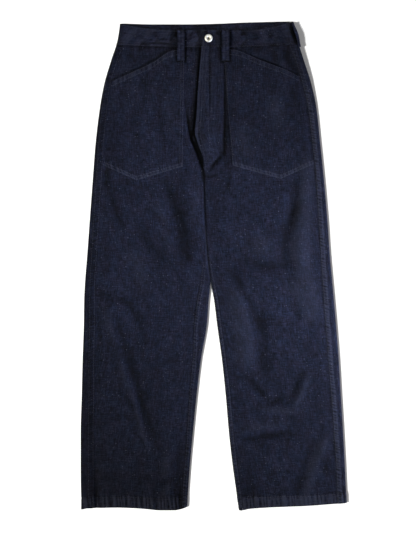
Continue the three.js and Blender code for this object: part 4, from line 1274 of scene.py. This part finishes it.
def denim_material(name, tone=1.0):
    """Dark indigo denim: a steep twill of dark warp over a paler weft, slubs both ways, pale specks of
    waste yarn, soft mottling, and lighter crests where the cloth's wear attribute says that it is rubbed,
    with painted light and painted shade carried in the same attribute."""
    looks = bpy.context.scene.jeans_looks
    material, tree, shader = new_material(name)
    uv = add_node(tree, "ShaderNodeUVMap", uv_map="cloth").outputs[0]
    dark = [channel * tone for channel in looks.indigo]
    pale = (*looks.weft, 1.0)

    apart = add_node(tree, "ShaderNodeSeparateXYZ")
    link(tree, uv, apart.inputs[0])
    steep = maths(tree, "MULTIPLY", apart.outputs[0], 2 * math.pi / TWILL_ACROSS)
    rising = maths(tree, "MULTIPLY", apart.outputs[1], -2 * math.pi / TWILL_ALONG)
    twill = maths(tree, "SINE", maths(tree, "ADD", steep, rising))
    shown = maths(tree, "MULTIPLY", stretch_range(tree, twill, 0.55, 1.0), looks.weft_share)
    tint = stretch_range(tree, spread_noise(tree, uv, (60, 45), 3.0, 0.7), 0.35, 0.65)
    warp = blend(tree, tint, tinted(dark, WARM_TINT), tinted(dark, COOL_TINT))
    colour = blend(tree, shown, warp, pale)

    noises = {key: spread_noise(tree, uv, *row[:3]) for key, row in DENIM_TONES.items()}
    tone_now, *tones = [stretch_range(tree, noises[key], *row[3:]) for key, row in DENIM_TONES.items()]
    for another in tones:
        tone_now = maths(tree, "MULTIPLY", tone_now, another)
    colour = scaled_colour(tree, colour, tone_now)
    worn_and_shaded = add_node(tree, "ShaderNodeAttribute", attribute_name="wear").outputs["Fac"]
    rubbed = maths(tree, "MULTIPLY", stretch_range(tree, worn_and_shaded, 0.0, 1.0), looks.rub)
    # Above 0 the attribute pales the colour: rubbed crests, and painted light
    colour = blend(tree, rubbed, colour, pale)
    # Below 0 it darkens the colour: painted shade in creases, gaps, seam lines and round the loops
    colour = scaled_colour(tree, colour, stretch_range(tree, worn_and_shaded, -1.0, 0.0, 0.20, 1.0))
    colour = blend(tree, denim_specks(tree, uv, noises["mottle"]), colour, (*looks.speck, 1.0))
    link(tree, colour, shader.inputs["Base Color"])
    link(tree, stretch_range(tree, noises["grain"], 0.2, 0.8, 0.82, 0.98), shader.inputs["Roughness"])
    set_inputs(shader, Specular_IOR_Level=0.06)

    height = maths(tree, "MULTIPLY", twill, 0.35)
    for key, rise in YARN_RELIEF.items():
        height = maths(tree, "ADD", height, maths(tree, "MULTIPLY", noises[key], rise))
    bump = add_node(tree, "ShaderNodeBump")
    set_inputs(bump, Strength=0.55, Distance=0.0003)
    link(tree, height, bump.inputs["Height"])
    link(tree, bump.outputs[0], shader.inputs["Normal"])
    return material


def clouded(tree, scale):
    """Noise on the piece's own place, with that many cells a metre."""
    noise = add_node(tree, "ShaderNodeTexNoise")
    set_inputs(noise, Scale=scale)
    link(tree, add_node(tree, "ShaderNodeTexCoord").outputs["Object"], noise.inputs["Vector"])
    return noise.outputs[0]


def thread_material(name):
    """Navy cotton thread, a shade paler than the cloth, with a slow change of tone."""
    material, tree, shader = new_material(name)
    thread = np.array(bpy.context.scene.jeans_looks.thread)
    factor = stretch_range(tree, clouded(tree, 220.0), 0.3, 0.7)
    colour = blend(tree, factor, (*(0.7 * thread), 1.0), (*(1.3 * thread), 1.0))
    link(tree, colour, shader.inputs["Base Color"])
    set_inputs(shader, Roughness=0.62, Specular_IOR_Level=0.3)
    return material


def metal_material(name, colour, roughness):
    """Polished metal, slightly clouded."""
    material, tree, shader = new_material(name)
    set_inputs(shader, Metallic=1.0)
    tint = np.array(colour)
    cloud = clouded(tree, 700.0)
    factor = stretch_range(tree, cloud, 0.3, 0.7)
    link(tree, blend(tree, factor, (*(0.9 * tint), 1.0), (*tint, 1.0)), shader.inputs["Base Color"])
    rough = stretch_range(tree, cloud, 0.3, 0.7, roughness, roughness + 0.12)
    link(tree, rough, shader.inputs["Roughness"])
    return material


def shared(name, make, *values):
    """A material of this name, made once and shared."""
    return bpy.data.materials.get(name) or make(name, *values)


def denim():
    """The denim of the panels, pockets and loops."""
    return shared("indigo_denim", denim_material)


def band_denim():
    """The denim of the waistband and its loops, a shade paler where it is pressed."""
    return shared("waistband_denim", denim_material, BAND_TONE)


# The pieces

def panel_rows():
    """Heights of the panels' rows, closer together on the leg ends."""
    hem_top = HEM_END + HEM_DEPTH + 0.004
    return np.concatenate([np.linspace(WAIST_SEAM, hem_top, 380)[:-1], np.linspace(hem_top, HEM_END, 15)])


def panel_depth(y):
    """Thickness of a panel at heights y."""
    return mix(cloth_depth(), settings().hem, hem_share(y))[:, None]


def make_panel(side, part, surface, columns, start):
    """A front or a back: the wall behind its surface, with its own coordinates starting at a place
    across."""
    y = panel_rows()
    grid, wear, distance = surface(side, y, lambda rings: columns(side, y[:, None], rings))
    uv = np.stack([distance * side.out + start, np.broadcast_to(y[:, None], distance.shape)], axis=-1)
    piece = wall(f"{part}_{side.name}_denim", grid, panel_depth(y), -side.out, uv, wear)
    return dress(piece, f"{part}_{side.name}", denim())


def front_columns(side, rows, rings):
    """Distances across a front, from its fly edge or inseam to its outseam: closest together at both."""
    start = (side.inseam(rows) + SEAM_GAP / 2) * leg_share(rows)
    seam = rings.tip - side.outseam(rows) - SEAM_GAP / 2
    return spans(start, (start + 0.016, 8), (start + 0.066, 30), (seam - 0.014, 48), (seam, 9))


def back_columns(side, rows, rings):
    """Distances across a back, from its outseam on the front, round the outer edge, to its inseam."""
    seam = rings.tip - side.outseam(rows) + SEAM_GAP / 2
    last = rings.end + (side.inseam(rows) - SEAM_GAP / 2) * leg_share(rows)
    return spans(seam, (rings.roll_start, 12), (rings.roll_end, 9), (rings.floor_end, 34), (last, 20))


def make_front(side):
    """A front panel."""
    piece = make_panel(side, "front", front_surface, front_columns, 0.0)


def make_back(side):
    """A back panel."""
    piece = make_panel(side, "back", back_surface, back_columns, 0.37)


def make_pocket(side):
    """A patch pocket."""
    share, down = np.meshgrid(np.linspace(0, 1, 85), np.linspace(0, 1, 121))
    grid, wear = pocket_surface(side, share, down)
    uv = grid[..., :2] + np.array([0.11, 0.23])
    piece = wall(f"pocket_{side.name}_denim", grid, cloth_depth(), -side.out, uv, wear)
    dress(piece, f"pocket_{side.name}", denim())


def band_surface(share):
    """The waistband's outer face, from its lapped end round the back to its under end, with wear, painted
    shade and painted light, and travel."""
    left, left_travel = band_rows(LEFT, BAND_LAP_END, share)
    right, right_travel = band_rows(RIGHT, BAND_UNDERLAP_END, share)
    grid = np.concatenate([left, right[:, ::-1]], axis=1)
    right_travel = left_travel[:, -1:] + right_travel[:, -1:] - right_travel[:, ::-1]
    travel = np.concatenate([left_travel, right_travel], axis=1)
    up = share[:, None] * BAND_HEIGHT
    edge = np.minimum(up, BAND_HEIGHT - up)
    rope = pucker(travel + 0.2 * up, 51, PITCH["band"])
    deep = pucker(travel - 0.1 * up, 52, PITCH["band swell"])
    pillow = BAND_PILLOW * ease(edge / 0.012) - BAND_ROUND_OFF * np.exp(-edge / 0.0009)
    relief = BAND_RISE + pillow - STITCH_LINE["band"] * bell(edge - EDGE_ROW, 0.0008)
    relief = relief + ROPE_RISE["band"] * rope * np.exp(-edge / 0.008) + ROPE_RISE["band swell"] * deep
    grid = grid + normals_of(grid, -1) * relief[..., None]
    x, y = grid[..., 0], grid[..., 1]
    # painted light: the waistband is lighter towards its right end
    wear = (-0.05 + 0.40 * rope) * np.exp(-edge / 0.006) + 0.35 * deep + 0.16 * ease((-0.02 - x) / 0.03)
    on_front = ease((grid[..., 2] - back_height(x, y) - 0.0040) / 0.001)
    # painted shade in the sunken creases of the band, and paler rubbed crests on the raised ones
    creased = np.clip(crease_height(x, y) / 0.0022, -0.8, 0.3)
    from_lap = np.exp(-np.abs(travel - travel[:, :1]) / 0.0030)
    wear = wear + 0.9 * from_lap * (0.25 + np.exp(-edge / 0.005))
    # painted shadow round the front loops, on the band's front
    wear = wear + on_front * (creased - LOOP_SHADOW_PAINT * sum(loop_painted_shadow(side, x, y) for side in SIDES))
    # painted shadow on the band beside the left side loop
    side_loop_painted_shadow = bell(np.abs(travel) - SIDE_LOOP_SPAN / 2 - 0.0025, 0.0022) * ease((0.526 - y) / 0.016)
    return grid, wear - 3.0 * side_loop_painted_shadow * (x > 0), travel


def strip(name, centre_line, up, depth):
    """A belt loop along a line of points: across it lie equal steps of its width, bulging a little
    between its two edges. up is 1 where its face looks up and -1 where it looks down."""
    upward = np.array([0.0, 0.0, up])
    heading = np.gradient(centre_line, axis=0)
    across = unit(np.cross(heading, upward))
    steps = np.linspace(-1, 1, 21) * LOOP_WIDTH / 2
    edge = LOOP_WIDTH / 2 - np.abs(steps)
    travel = np.concatenate([[0.0], np.cumsum(np.linalg.norm(np.diff(centre_line, axis=0), axis=1))])
    rope = pucker(travel[:, None] + 0.001 * np.linspace(-1, 1, 21), 61 + len(name), PITCH["loop"])
    rise = LOOP_PILLOW * ease(edge / 0.004) - STITCH_LINE["loop"] * bell(edge - EDGE_ROW, 0.0008)
    rise = rise + ROPE_RISE["loop"] * rope
    grid = centre_line[:, None] + across[:, None] * steps[None, :, None] + upward * rise[..., None]
    uv = np.stack(np.broadcast_arrays(steps, travel[:, None]), axis=-1)
    # the loop's edges are painted dark, as the shade along them
    wear = -0.03 + 0.2 * rope + 0.5 * bell(edge - 0.0048, 0.0010) - 1.1 * np.exp(-edge / 0.0006)
    turn = 1 if np.mean(np.cross(across, heading) * upward) > 0 else -1
    piece = dress(wall(name + "_denim", grid, depth, turn, uv + 0.5, wear), name, band_denim())


def seated_loop_line(side, rows=60):
    """The centre line of a front loop: just above the band and the pocket, bowed out between its sewn
    ends."""
    centre_x = FRONT_LOOP_X[side.name]
    down = np.linspace(0, 1, rows)
    y = mix(band_front_top_at(centre_x), LOOP_BOTTOM, down)[:, None]
    x = centre_x + LOOP_WIDTH * np.linspace(-0.5, 0.5, 5)[None]
    bare = front_height(side, x, y)
    on_band = np.where(y > WAIST_SEAM - 0.008, bare + band_lift(side, x, y) + BAND_RISE, 0)
    on_pocket = bare + fly_lift(side, x, y) + SEAM_GAP + cloth_depth()
    seat = np.maximum(on_band, on_pocket).max(axis=1) + LOOP_SEAT
    soft = np.convolve(np.pad(seat, 6, mode="edge"), np.ones(13) / 13, mode="valid")
    z = np.maximum(seat, soft) + SEAM_GAP + LOOP_BOW * np.sin(math.pi * down) ** 2 + settings().loop
    return np.stack([np.full(rows, centre_x), y[:, 0], z], axis=-1)


def under_loop_line(centre_x, rows=50):
    """The centre line of a loop that lies flat under the waist."""
    top = band_back_top_at(centre_x)
    y = np.linspace(top, top - BACK_LOOP_LENGTH, rows)
    return np.stack([np.full(rows, centre_x), y, np.full(rows, LOOP_SEAT)], axis=-1)


def side_loop_surface(rows=60):
    """The face of the loop that wraps round the left end of the waist, with its own coordinates and its
    tone, with painted shade along its edges."""
    down = np.linspace(0, 1, rows)
    y = mix(SIDE_LOOP_TOP, SIDE_LOOP_BOTTOM, down)
    rings = rings_at(LEFT, y, BAND_LAP_END, band_lift)
    rise = BAND_RISE + SIDE_LOOP_SEAT + SIDE_LOOP_BOW * np.sin(math.pi * down) ** 2 + settings().loop
    share = np.linspace(-0.5, 0.5, 25)[None]
    place = read_rings(rings, rings.tip + share * SIDE_LOOP_SPAN)
    across, along = np.broadcast_arrays(share * LOOP_WIDTH, y[:, None])
    grid = np.stack([place[..., 0], along, place[..., 1]], axis=-1)
    edge = LOOP_WIDTH / 2 - np.abs(across)
    relief = rise[:, None] + LOOP_PILLOW * ease(edge / 0.004)
    # painted shade along the loop's edges
    wear = 0.10 - 0.4 * np.exp(-edge / 0.0012)
    return grid + normals_of(grid, -1) * relief[..., None], np.stack([across, along], axis=-1), wear


def make_turned(name, node, profile, material, turns=96):
    """A solid of revolution on a node's upright axis: the profile's radii times cos a and sin a, at its
    heights above the node's foot. Its first and last points lie on the axis."""
    low, high = (np.array(corner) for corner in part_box(node))
    centre = (low + high) / 2
    radius, height = profile
    turn = 2 * math.pi * np.arange(turns) / turns
    x = centre[0] + radius[:, None] * np.cos(turn)
    y = centre[1] + radius[:, None] * np.sin(turn)
    rings = np.stack(np.broadcast_arrays(x, y, low[2] + height[:, None]), axis=-1)
    inner = rings[1:-1].reshape(-1, 3)
    vertices = np.concatenate([inner, rings[:1, 0], rings[-1:, 0]])
    index = np.arange(len(inner)).reshape(-1, turns)
    turned = np.roll(index, -1, axis=1)
    quads = np.stack([index[:-1], turned[:-1], turned[1:], index[1:]], axis=-1).reshape(-1, 4).tolist()
    bottom = [[len(inner), b, a] for a, b in zip(index[0].tolist(), turned[0].tolist())]
    top = [[len(inner) + 1, a, b] for a, b in zip(index[-1].tolist(), turned[-1].tolist())]
    piece = new_object(name, vertices, quads + bottom + top)
    smooth(piece, 40)
    return dress(piece, node, material)


class JeansCloth(bpy.types.PropertyGroup):
    """Sizes of the cloth and its sewing."""

    cloth: bpy.props.FloatProperty(
        name="Cloth", description="One layer of denim", default=0.0012, unit="LENGTH"
    )
    band: bpy.props.FloatProperty(
        name="Band", description="Waistband, doubled", default=0.0024, unit="LENGTH"
    )
    hem: bpy.props.FloatProperty(
        name="Hem", description="Leg end, turned up twice", default=0.0024, unit="LENGTH"
    )
    loop: bpy.props.FloatProperty(
        name="Loop", description="Belt loop, folded in three", default=0.0018, unit="LENGTH"
    )
    thread: bpy.props.FloatProperty(
        name="Thread", description="Width of the thread", default=0.0008, unit="LENGTH"
    )
    stitch: bpy.props.FloatProperty(
        name="Stitch", description="Length of a stitch", default=0.0028, unit="LENGTH"
    )
    stitch_gap: bpy.props.FloatProperty(
        name="Gap", description="Between stitches", default=0.0009, unit="LENGTH"
    )


class JeansLooks(bpy.types.PropertyGroup):
    """Colours of the denim, thread, metal and table."""

    indigo: bpy.props.FloatVectorProperty(
        name="Indigo", description="Dyed warp", default=(0.0048, 0.0056, 0.0123), subtype="COLOR"
    )
    weft: bpy.props.FloatVectorProperty(
        name="Weft", description="Paler yarn under the warp", default=(0.052, 0.057, 0.090), subtype="COLOR"
    )
    weft_share: bpy.props.FloatProperty(
        name="Weft share", description="How far the weft shows", default=0.10
    )
    speck: bpy.props.FloatVectorProperty(
        name="Speck", description="Waste yarn specks", default=(0.075, 0.078, 0.105), subtype="COLOR"
    )
    rub: bpy.props.FloatProperty(name="Rub", description="How far rubbed crests fade", default=0.22)
    thread: bpy.props.FloatVectorProperty(
        name="Thread", description="Sewing thread", default=(0.0095, 0.0108, 0.0210), subtype="COLOR"
    )
    silver: bpy.props.FloatVectorProperty(
        name="Silver", description="Button metal", default=(0.93, 0.92, 0.88), subtype="COLOR"
    )
    dark_metal: bpy.props.FloatVectorProperty(
        name="Tack", description="Tack in the button", default=(0.035, 0.032, 0.026), subtype="COLOR"
    )
    table: bpy.props.FloatVectorProperty(
        name="Table", description="Pale floor", default=(0.96, 0.96, 0.96), subtype="COLOR"
    )


class JeansStage(bpy.types.PropertyGroup):
    """The camera over the table and the lights round it."""

    lens: bpy.props.FloatProperty(name="Lens", description="Focal length", default=80.0, unit="CAMERA")
    view_height: bpy.props.FloatProperty(
        name="View", description="Length in view", default=1.1597, unit="LENGTH"
    )
    aim: bpy.props.FloatVectorProperty(
        name="Aim", description="Point under the camera", default=(-0.0124, -0.0009, 0.004),
        subtype="TRANSLATION",
    )
    high_power: bpy.props.FloatProperty(name="High", description="Light from the left", default=600.0)
    low_power: bpy.props.FloatProperty(name="Low", description="Raking light from the right", default=6.7)
    sky: bpy.props.FloatProperty(name="Sky", description="Even light from all round", default=0.13)
    glow: bpy.props.FloatProperty(name="Glow", description="Light of the table itself", default=0.15)
    table_power: bpy.props.FloatProperty(
        name="Table light", description="More light on the table", default=260.0
    )


class JEANS_OT_panels(bpy.types.Operator):
    """Makes the two fronts and the two backs"""

    bl_idname = "jeans.panels"
    bl_label = "Fronts and backs"

    def execute(self, context):
        for side in SIDES:
            make_front(side)
            make_back(side)
        return {"FINISHED"}


class JEANS_OT_pockets(bpy.types.Operator):
    """Makes the two patch pockets"""

    bl_idname = "jeans.pockets"
    bl_label = "Pockets"

    def execute(self, context):
        for side in SIDES:
            make_pocket(side)
        return {"FINISHED"}


class JEANS_OT_waistband(bpy.types.Operator):
    """Makes the waistband"""

    bl_idname = "jeans.waistband"
    bl_label = "Waistband"

    def execute(self, context):
        share = np.linspace(0, 1, 33)
        grid, wear, travel = band_surface(share)
        uv = np.stack(np.broadcast_arrays(0.9 + BAND_HEIGHT * share[:, None], travel), axis=-1)
        # the inside of the waistband is painted a little darker, as painted shade
        piece = wall("waistband_denim", grid, settings().band, 1, uv, wear, inner_wear=-0.1)
        dress(piece, "waistband", band_denim())
        return {"FINISHED"}


class JEANS_OT_fly(bpy.types.Operator):
    """Makes the strip behind the fly"""

    bl_idname = "jeans.fly"
    bl_label = "Fly shield"

    def execute(self, context):
        share, y = np.meshgrid(np.linspace(0, 1, 13), np.linspace(SHIELD_TOP, SHIELD_BOTTOM, 50))
        x = fly_edge_at(y) - SHIELD_OVERHANG + SHIELD_WIDTH * share
        z = front_height(RIGHT, x, y) - cloth_depth() - SHIELD_DEPTH
        grid = np.stack([x, y, z], axis=-1)
        piece = wall("fly_shield_denim", grid, cloth_depth(), -1, grid[..., :2] + 0.6, 0 * z)
        dress(piece, "fly_shield", denim())
        return {"FINISHED"}


class JEANS_OT_loops(bpy.types.Operator):
    """Makes the five belt loops"""

    bl_idname = "jeans.loops"
    bl_label = "Belt loops"

    def execute(self, context):
        depth = settings().loop
        for side in SIDES:
            strip(f"loop_front_{side.name}", seated_loop_line(side), 1.0, depth)
        for name, centre_x in BACK_LOOP_X.items():
            strip(name, under_loop_line(centre_x), -1.0, depth - LOOP_SEAT)
        grid, uv, wear = side_loop_surface()
        piece = wall("loop_side_left_denim", grid, depth, -1, uv + 0.5, wear)
        dress(piece, "loop_side_left", band_denim())
        return {"FINISHED"}


class JEANS_OT_button(bpy.types.Operator):
    """Makes the ring button and the tack in it"""

    bl_idname = "jeans.button"
    bl_label = "Button"

    def execute(self, context):
        looks = bpy.context.scene.jeans_looks
        radius, height = self.reach("button")
        floor, hole = 0.29 * height, 0.37 * radius
        angle = np.linspace(0, math.pi, 22)
        ring_r = (radius + hole) / 2 + (radius - hole) / 2 * np.cos(angle)
        ring_z = floor + (height - floor) * np.sin(angle) ** 0.8
        profile = (
            np.concatenate([[0.0, radius - 0.001, radius - 0.0003, radius], ring_r, [hole * 0.9, 0.0]]),
            np.concatenate([[0.0, 0.0, 0.0002, 0.0006], ring_z, [floor * 0.8, floor * 0.8]]),
        )
        metal = shared("white_metal", metal_material, looks.silver, 0.46)
        make_turned("button_ring", "button", profile, metal)
        radius, height = self.reach("button_tack")
        profile = (
            radius * np.array([0.0, 1.0, 1.0, 0.94, 0.80, 0.45, 0.0]),
            height * np.array([0.0, 0.0, 0.55, 0.80, 0.92, 1.0, 1.0]),
        )
        metal = shared("dark_metal", metal_material, looks.dark_metal, 0.60)
        make_turned("button_tack_head", "button_tack", profile, metal)
        return {"FINISHED"}

    def reach(self, node):
        """A node's radius and its height."""
        low, high = (np.array(corner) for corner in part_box(node))
        return (high - low)[0] / 2, (high - low)[2]


class JEANS_OT_stitching(bpy.types.Operator):
    """Sews the visible rows of stitches and the bar tacks"""

    bl_idname = "jeans.stitching"
    bl_label = "Stitching"

    def execute(self, context):
        thread = shared("navy_thread", thread_material)
        leg = np.linspace(0.470, HEM_END + 0.001, 900)
        legs = np.linspace(0.010, HEM_END + 0.001, 500)
        seams, trims = [], []
        for side in SIDES:
            for inset in (SEAM_ROW, RIDGE_WIDTH[side.name] - SEAM_ROW):
                seams.append(ring_thread(
                    back_surface, side, leg, lambda rings: rings.tip - side.outseam(leg[:, None]) + inset
                ))
            for inset in (SEAM_ROW, INSEAM_RIDGE_WIDTH - SEAM_ROW):
                seams.append(ring_thread(
                    back_surface, side, legs, lambda rings: rings.end + side.inseam(legs[:, None]) - inset
                ))
            trims.extend(self.pocket_rows(side))
            trims.append(self.hem_row(side))
        trims.extend(self.fly_rows())
        trims.extend(self.band_rows())
        thread_piece("seam_stitching", seams, thread)
        thread_piece("trim_stitching", trims, thread)
        return {"FINISHED"}

    def pocket_rows(self, side):
        """One row or two down the fly side, and two along the pointed bottom and along the mouth."""
        rows = []

        def on_pocket(share, y):
            down = (side.mouth(share) - y) / (side.mouth(share) - side.bottom(share))
            return pocket_surface(side, share, down)[0]

        for inset in (SEAM_ROW, RIM_WIDTH - RIM_ROW):
            y = np.linspace(side.mouth(0.01) - 0.001, side.bottom(0.0) + inset, 240)
            width = np.abs(side.outseam_x(y) - side.split(y))
            if side is RIGHT or inset == SEAM_ROW:
                rows.append(flat_thread(on_pocket, inset / width, y))
            share = np.linspace(inset / 0.19, 1.0, 300)
            rows.append(flat_thread(on_pocket, share, side.bottom(share) + inset / BOTTOM_SLANT))
        for inset in (SEAM_ROW, POCKET_HEM - RIM_ROW):
            share = np.linspace(0.012, 0.995, 300)
            rows.append(flat_thread(on_pocket, share, side.mouth(share) - inset / MOUTH_SLANT))
        return rows

    def hem_row(self, side):
        """The row round the leg end, on the front."""
        def on_front(share, y):
            low, high = side.inner(y) + side.out * 0.014, side.outseam_x(y) - side.out * 0.001
            x = mix(low, high, share)
            z = front_height(side, x, y) + hem_relief(side, x, y)[0]
            return np.stack([x, leaned_y(side, x, 1.0, y), z], axis=-1)

        share = np.linspace(0, 1, 300)
        return flat_thread(on_front, share, np.full(300, HEM_END + HEM_DEPTH - EDGE_ROW))

    def fly_rows(self):
        """The curved row of the fly and its bar tack."""
        def on_fly(x, y):
            z = front_height(LEFT, x, y) + fly_lift(LEFT, x, y) + FACING_RISE - FLY_ROW_GROOVE
            return np.stack([x, y, z], axis=-1)

        y = np.linspace(0.473, 0.222, 260)
        return [
            flat_thread(on_fly, fly_stitch_at(y), y),
            bar_tack(on_fly, (fly_stitch_at(0.2705) + 0.001, 0.2705), (0.004, 0.009)),
        ]

    def band_rows(self):
        """The rows along both edges of the waistband, the row down its lapped end and the buttonhole."""
        rows = []
        for up in (0.055, 0.945):
            grid = band_surface(np.array([up - 0.004, up, up + 0.004]))[0]
            rows.append((grid[1], unit(np.cross(grid[2] - grid[0], np.gradient(grid[1], axis=0)))))
        grid = band_surface(np.linspace(0.06, 0.94, 60))[0]
        rows.append((grid[:, 1], straight_up(60)))
        low, high = (np.array(corner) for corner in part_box("button"))
        centre, reach = (low + high) / 2, (high - low)[0] / 2
        hole_z = grid[30, 8, 2] + 0.0002
        turn = np.linspace(0, 2 * math.pi, 80)
        eye = np.stack([
            centre[0] + 0.25 * reach + (reach + 0.001) * np.cos(turn),
            centre[1] + 0.0022 * np.sin(turn),
            np.full(80, hole_z),
        ], axis=-1)
        rows.append((eye, straight_up(80)))
        return rows


class JEANS_OT_stage(bpy.types.Operator):
    """Lays the pale table, sets the lights and hangs the camera straight above"""

    bl_idname = "jeans.stage"
    bl_label = "Table, lights and camera"

    def execute(self, context):
        scene, stage = context.scene, context.scene.jeans_stage
        scene.view_settings.view_transform = "Standard"
        signs = ((-1, -1), (1, -1), (1, 1), (-1, 1))
        corners = np.array([[x * TABLE_REACH, y * TABLE_REACH, -TABLE_DEPTH] for x, y in signs])
        table = new_object("table", corners, [[0, 1, 2, 3]])
        paper, _, shader = new_material("pale_table")
        set_inputs(shader, Base_Color=(*scene.jeans_looks.table, 1.0), Roughness=0.9, Specular_IOR_Level=0.1)
        set_inputs(shader, Emission_Color=(1.0, 1.0, 1.0, 1.0), Emission_Strength=stage.glow)
        table.data.materials.append(paper)

        world = bpy.data.worlds.new("studio")
        world.use_nodes = True
        set_inputs(world.node_tree.nodes["Background"], Color=(1.0, 1.0, 1.0, 1.0), Strength=stage.sky)
        scene.world = world
        middle, aside = (0.0, 0.0, 0.0), (0.24, -0.06, 0.0)
        self.softbox("high", HIGH_PLACE, middle, 1.1, stage.high_power, 180, (1.0, 0.97, 0.76))
        more = self.softbox("more", HIGH_PLACE, middle, 1.1, stage.table_power, 180, (0.78, 0.84, 1.25))
        self.limit(more, table, "INCLUDE")
        low = self.softbox("low", LOW_PLACE, aside, 0.28, stage.low_power, 26, (0.91, 0.98, 1.18))
        self.limit(low, table, "EXCLUDE")

        data = bpy.data.cameras.new("camera")
        data.lens = stage.lens
        data.sensor_width = SENSOR
        camera = bpy.data.objects.new("camera", data)
        camera.location = Vector(stage.aim) + Vector((0, 0, stage.view_height * stage.lens / SENSOR))
        scene.collection.objects.link(camera)
        scene.camera = camera
        return {"FINISHED"}

    def limit(self, light, thing, state):
        """Lights only the thing, or all but it: the state is INCLUDE or EXCLUDE."""
        group = bpy.data.collections.new(light.name + "_reach")
        group.objects.link(thing)
        light.light_linking.receiver_collection = group
        group.collection_objects[0].light_linking.link_state = state

    def softbox(self, name, place, aim, size, power, spread, colour):
        """A square soft light that faces a point and shines within a spread in degrees."""
        data = bpy.data.lights.new(name, "AREA")
        data.shape = "SQUARE"
        data.size = size
        data.energy = power
        data.spread = math.radians(spread)
        data.color = colour
        light = bpy.data.objects.new(name, data)
        light.location = place
        light.rotation_euler = (Vector(aim) - Vector(place)).to_track_quat("-Z", "Y").to_euler()
        bpy.context.scene.collection.objects.link(light)
        return light


class JEANS_PT_panel(bpy.types.Panel):
    """Lists the sizes, the looks and the pieces"""

    bl_label = "Jeans"
    bl_idname = "JEANS_PT_panel"
    bl_space_type = "VIEW_3D"
    bl_region_type = "UI"
    bl_category = "Jeans"

    def draw(self, context):
        for group in GROUPS:
            box = self.layout.box()
            values = getattr(context.scene, group)
            for key in values.bl_rna.properties.keys():
                if key not in ("rna_type", "name"):
                    box.prop(values, key)
        for operator in OPERATORS:
            self.layout.operator(operator.bl_idname)


GROUPS = {"jeans_cloth": JeansCloth, "jeans_looks": JeansLooks, "jeans_stage": JeansStage}
OPERATORS = (
    JEANS_OT_stage, JEANS_OT_panels, JEANS_OT_pockets, JEANS_OT_waistband, JEANS_OT_fly, JEANS_OT_loops,
    JEANS_OT_button, JEANS_OT_stitching,
)


def register():
    """Adds the groups, operators and panel to Blender."""
    for name, group in GROUPS.items():
        bpy.utils.register_class(group)
        setattr(bpy.types.Scene, name, bpy.props.PointerProperty(type=group))
    for each in (*OPERATORS, JEANS_PT_panel):
        bpy.utils.register_class(each)


def unregister():
    """Takes them out again."""
    for each in (JEANS_PT_panel, *OPERATORS):
        bpy.utils.unregister_class(each)
    for name, group in GROUPS.items():
        delattr(bpy.types.Scene, name)
        bpy.utils.unregister_class(group)


def main():
    """Makes everything in order."""
    register()
    for operator in OPERATORS:
        family, action = operator.bl_idname.split(".")
        getattr(getattr(bpy.ops, family), action)()


if __name__ == "__main__":
    main()
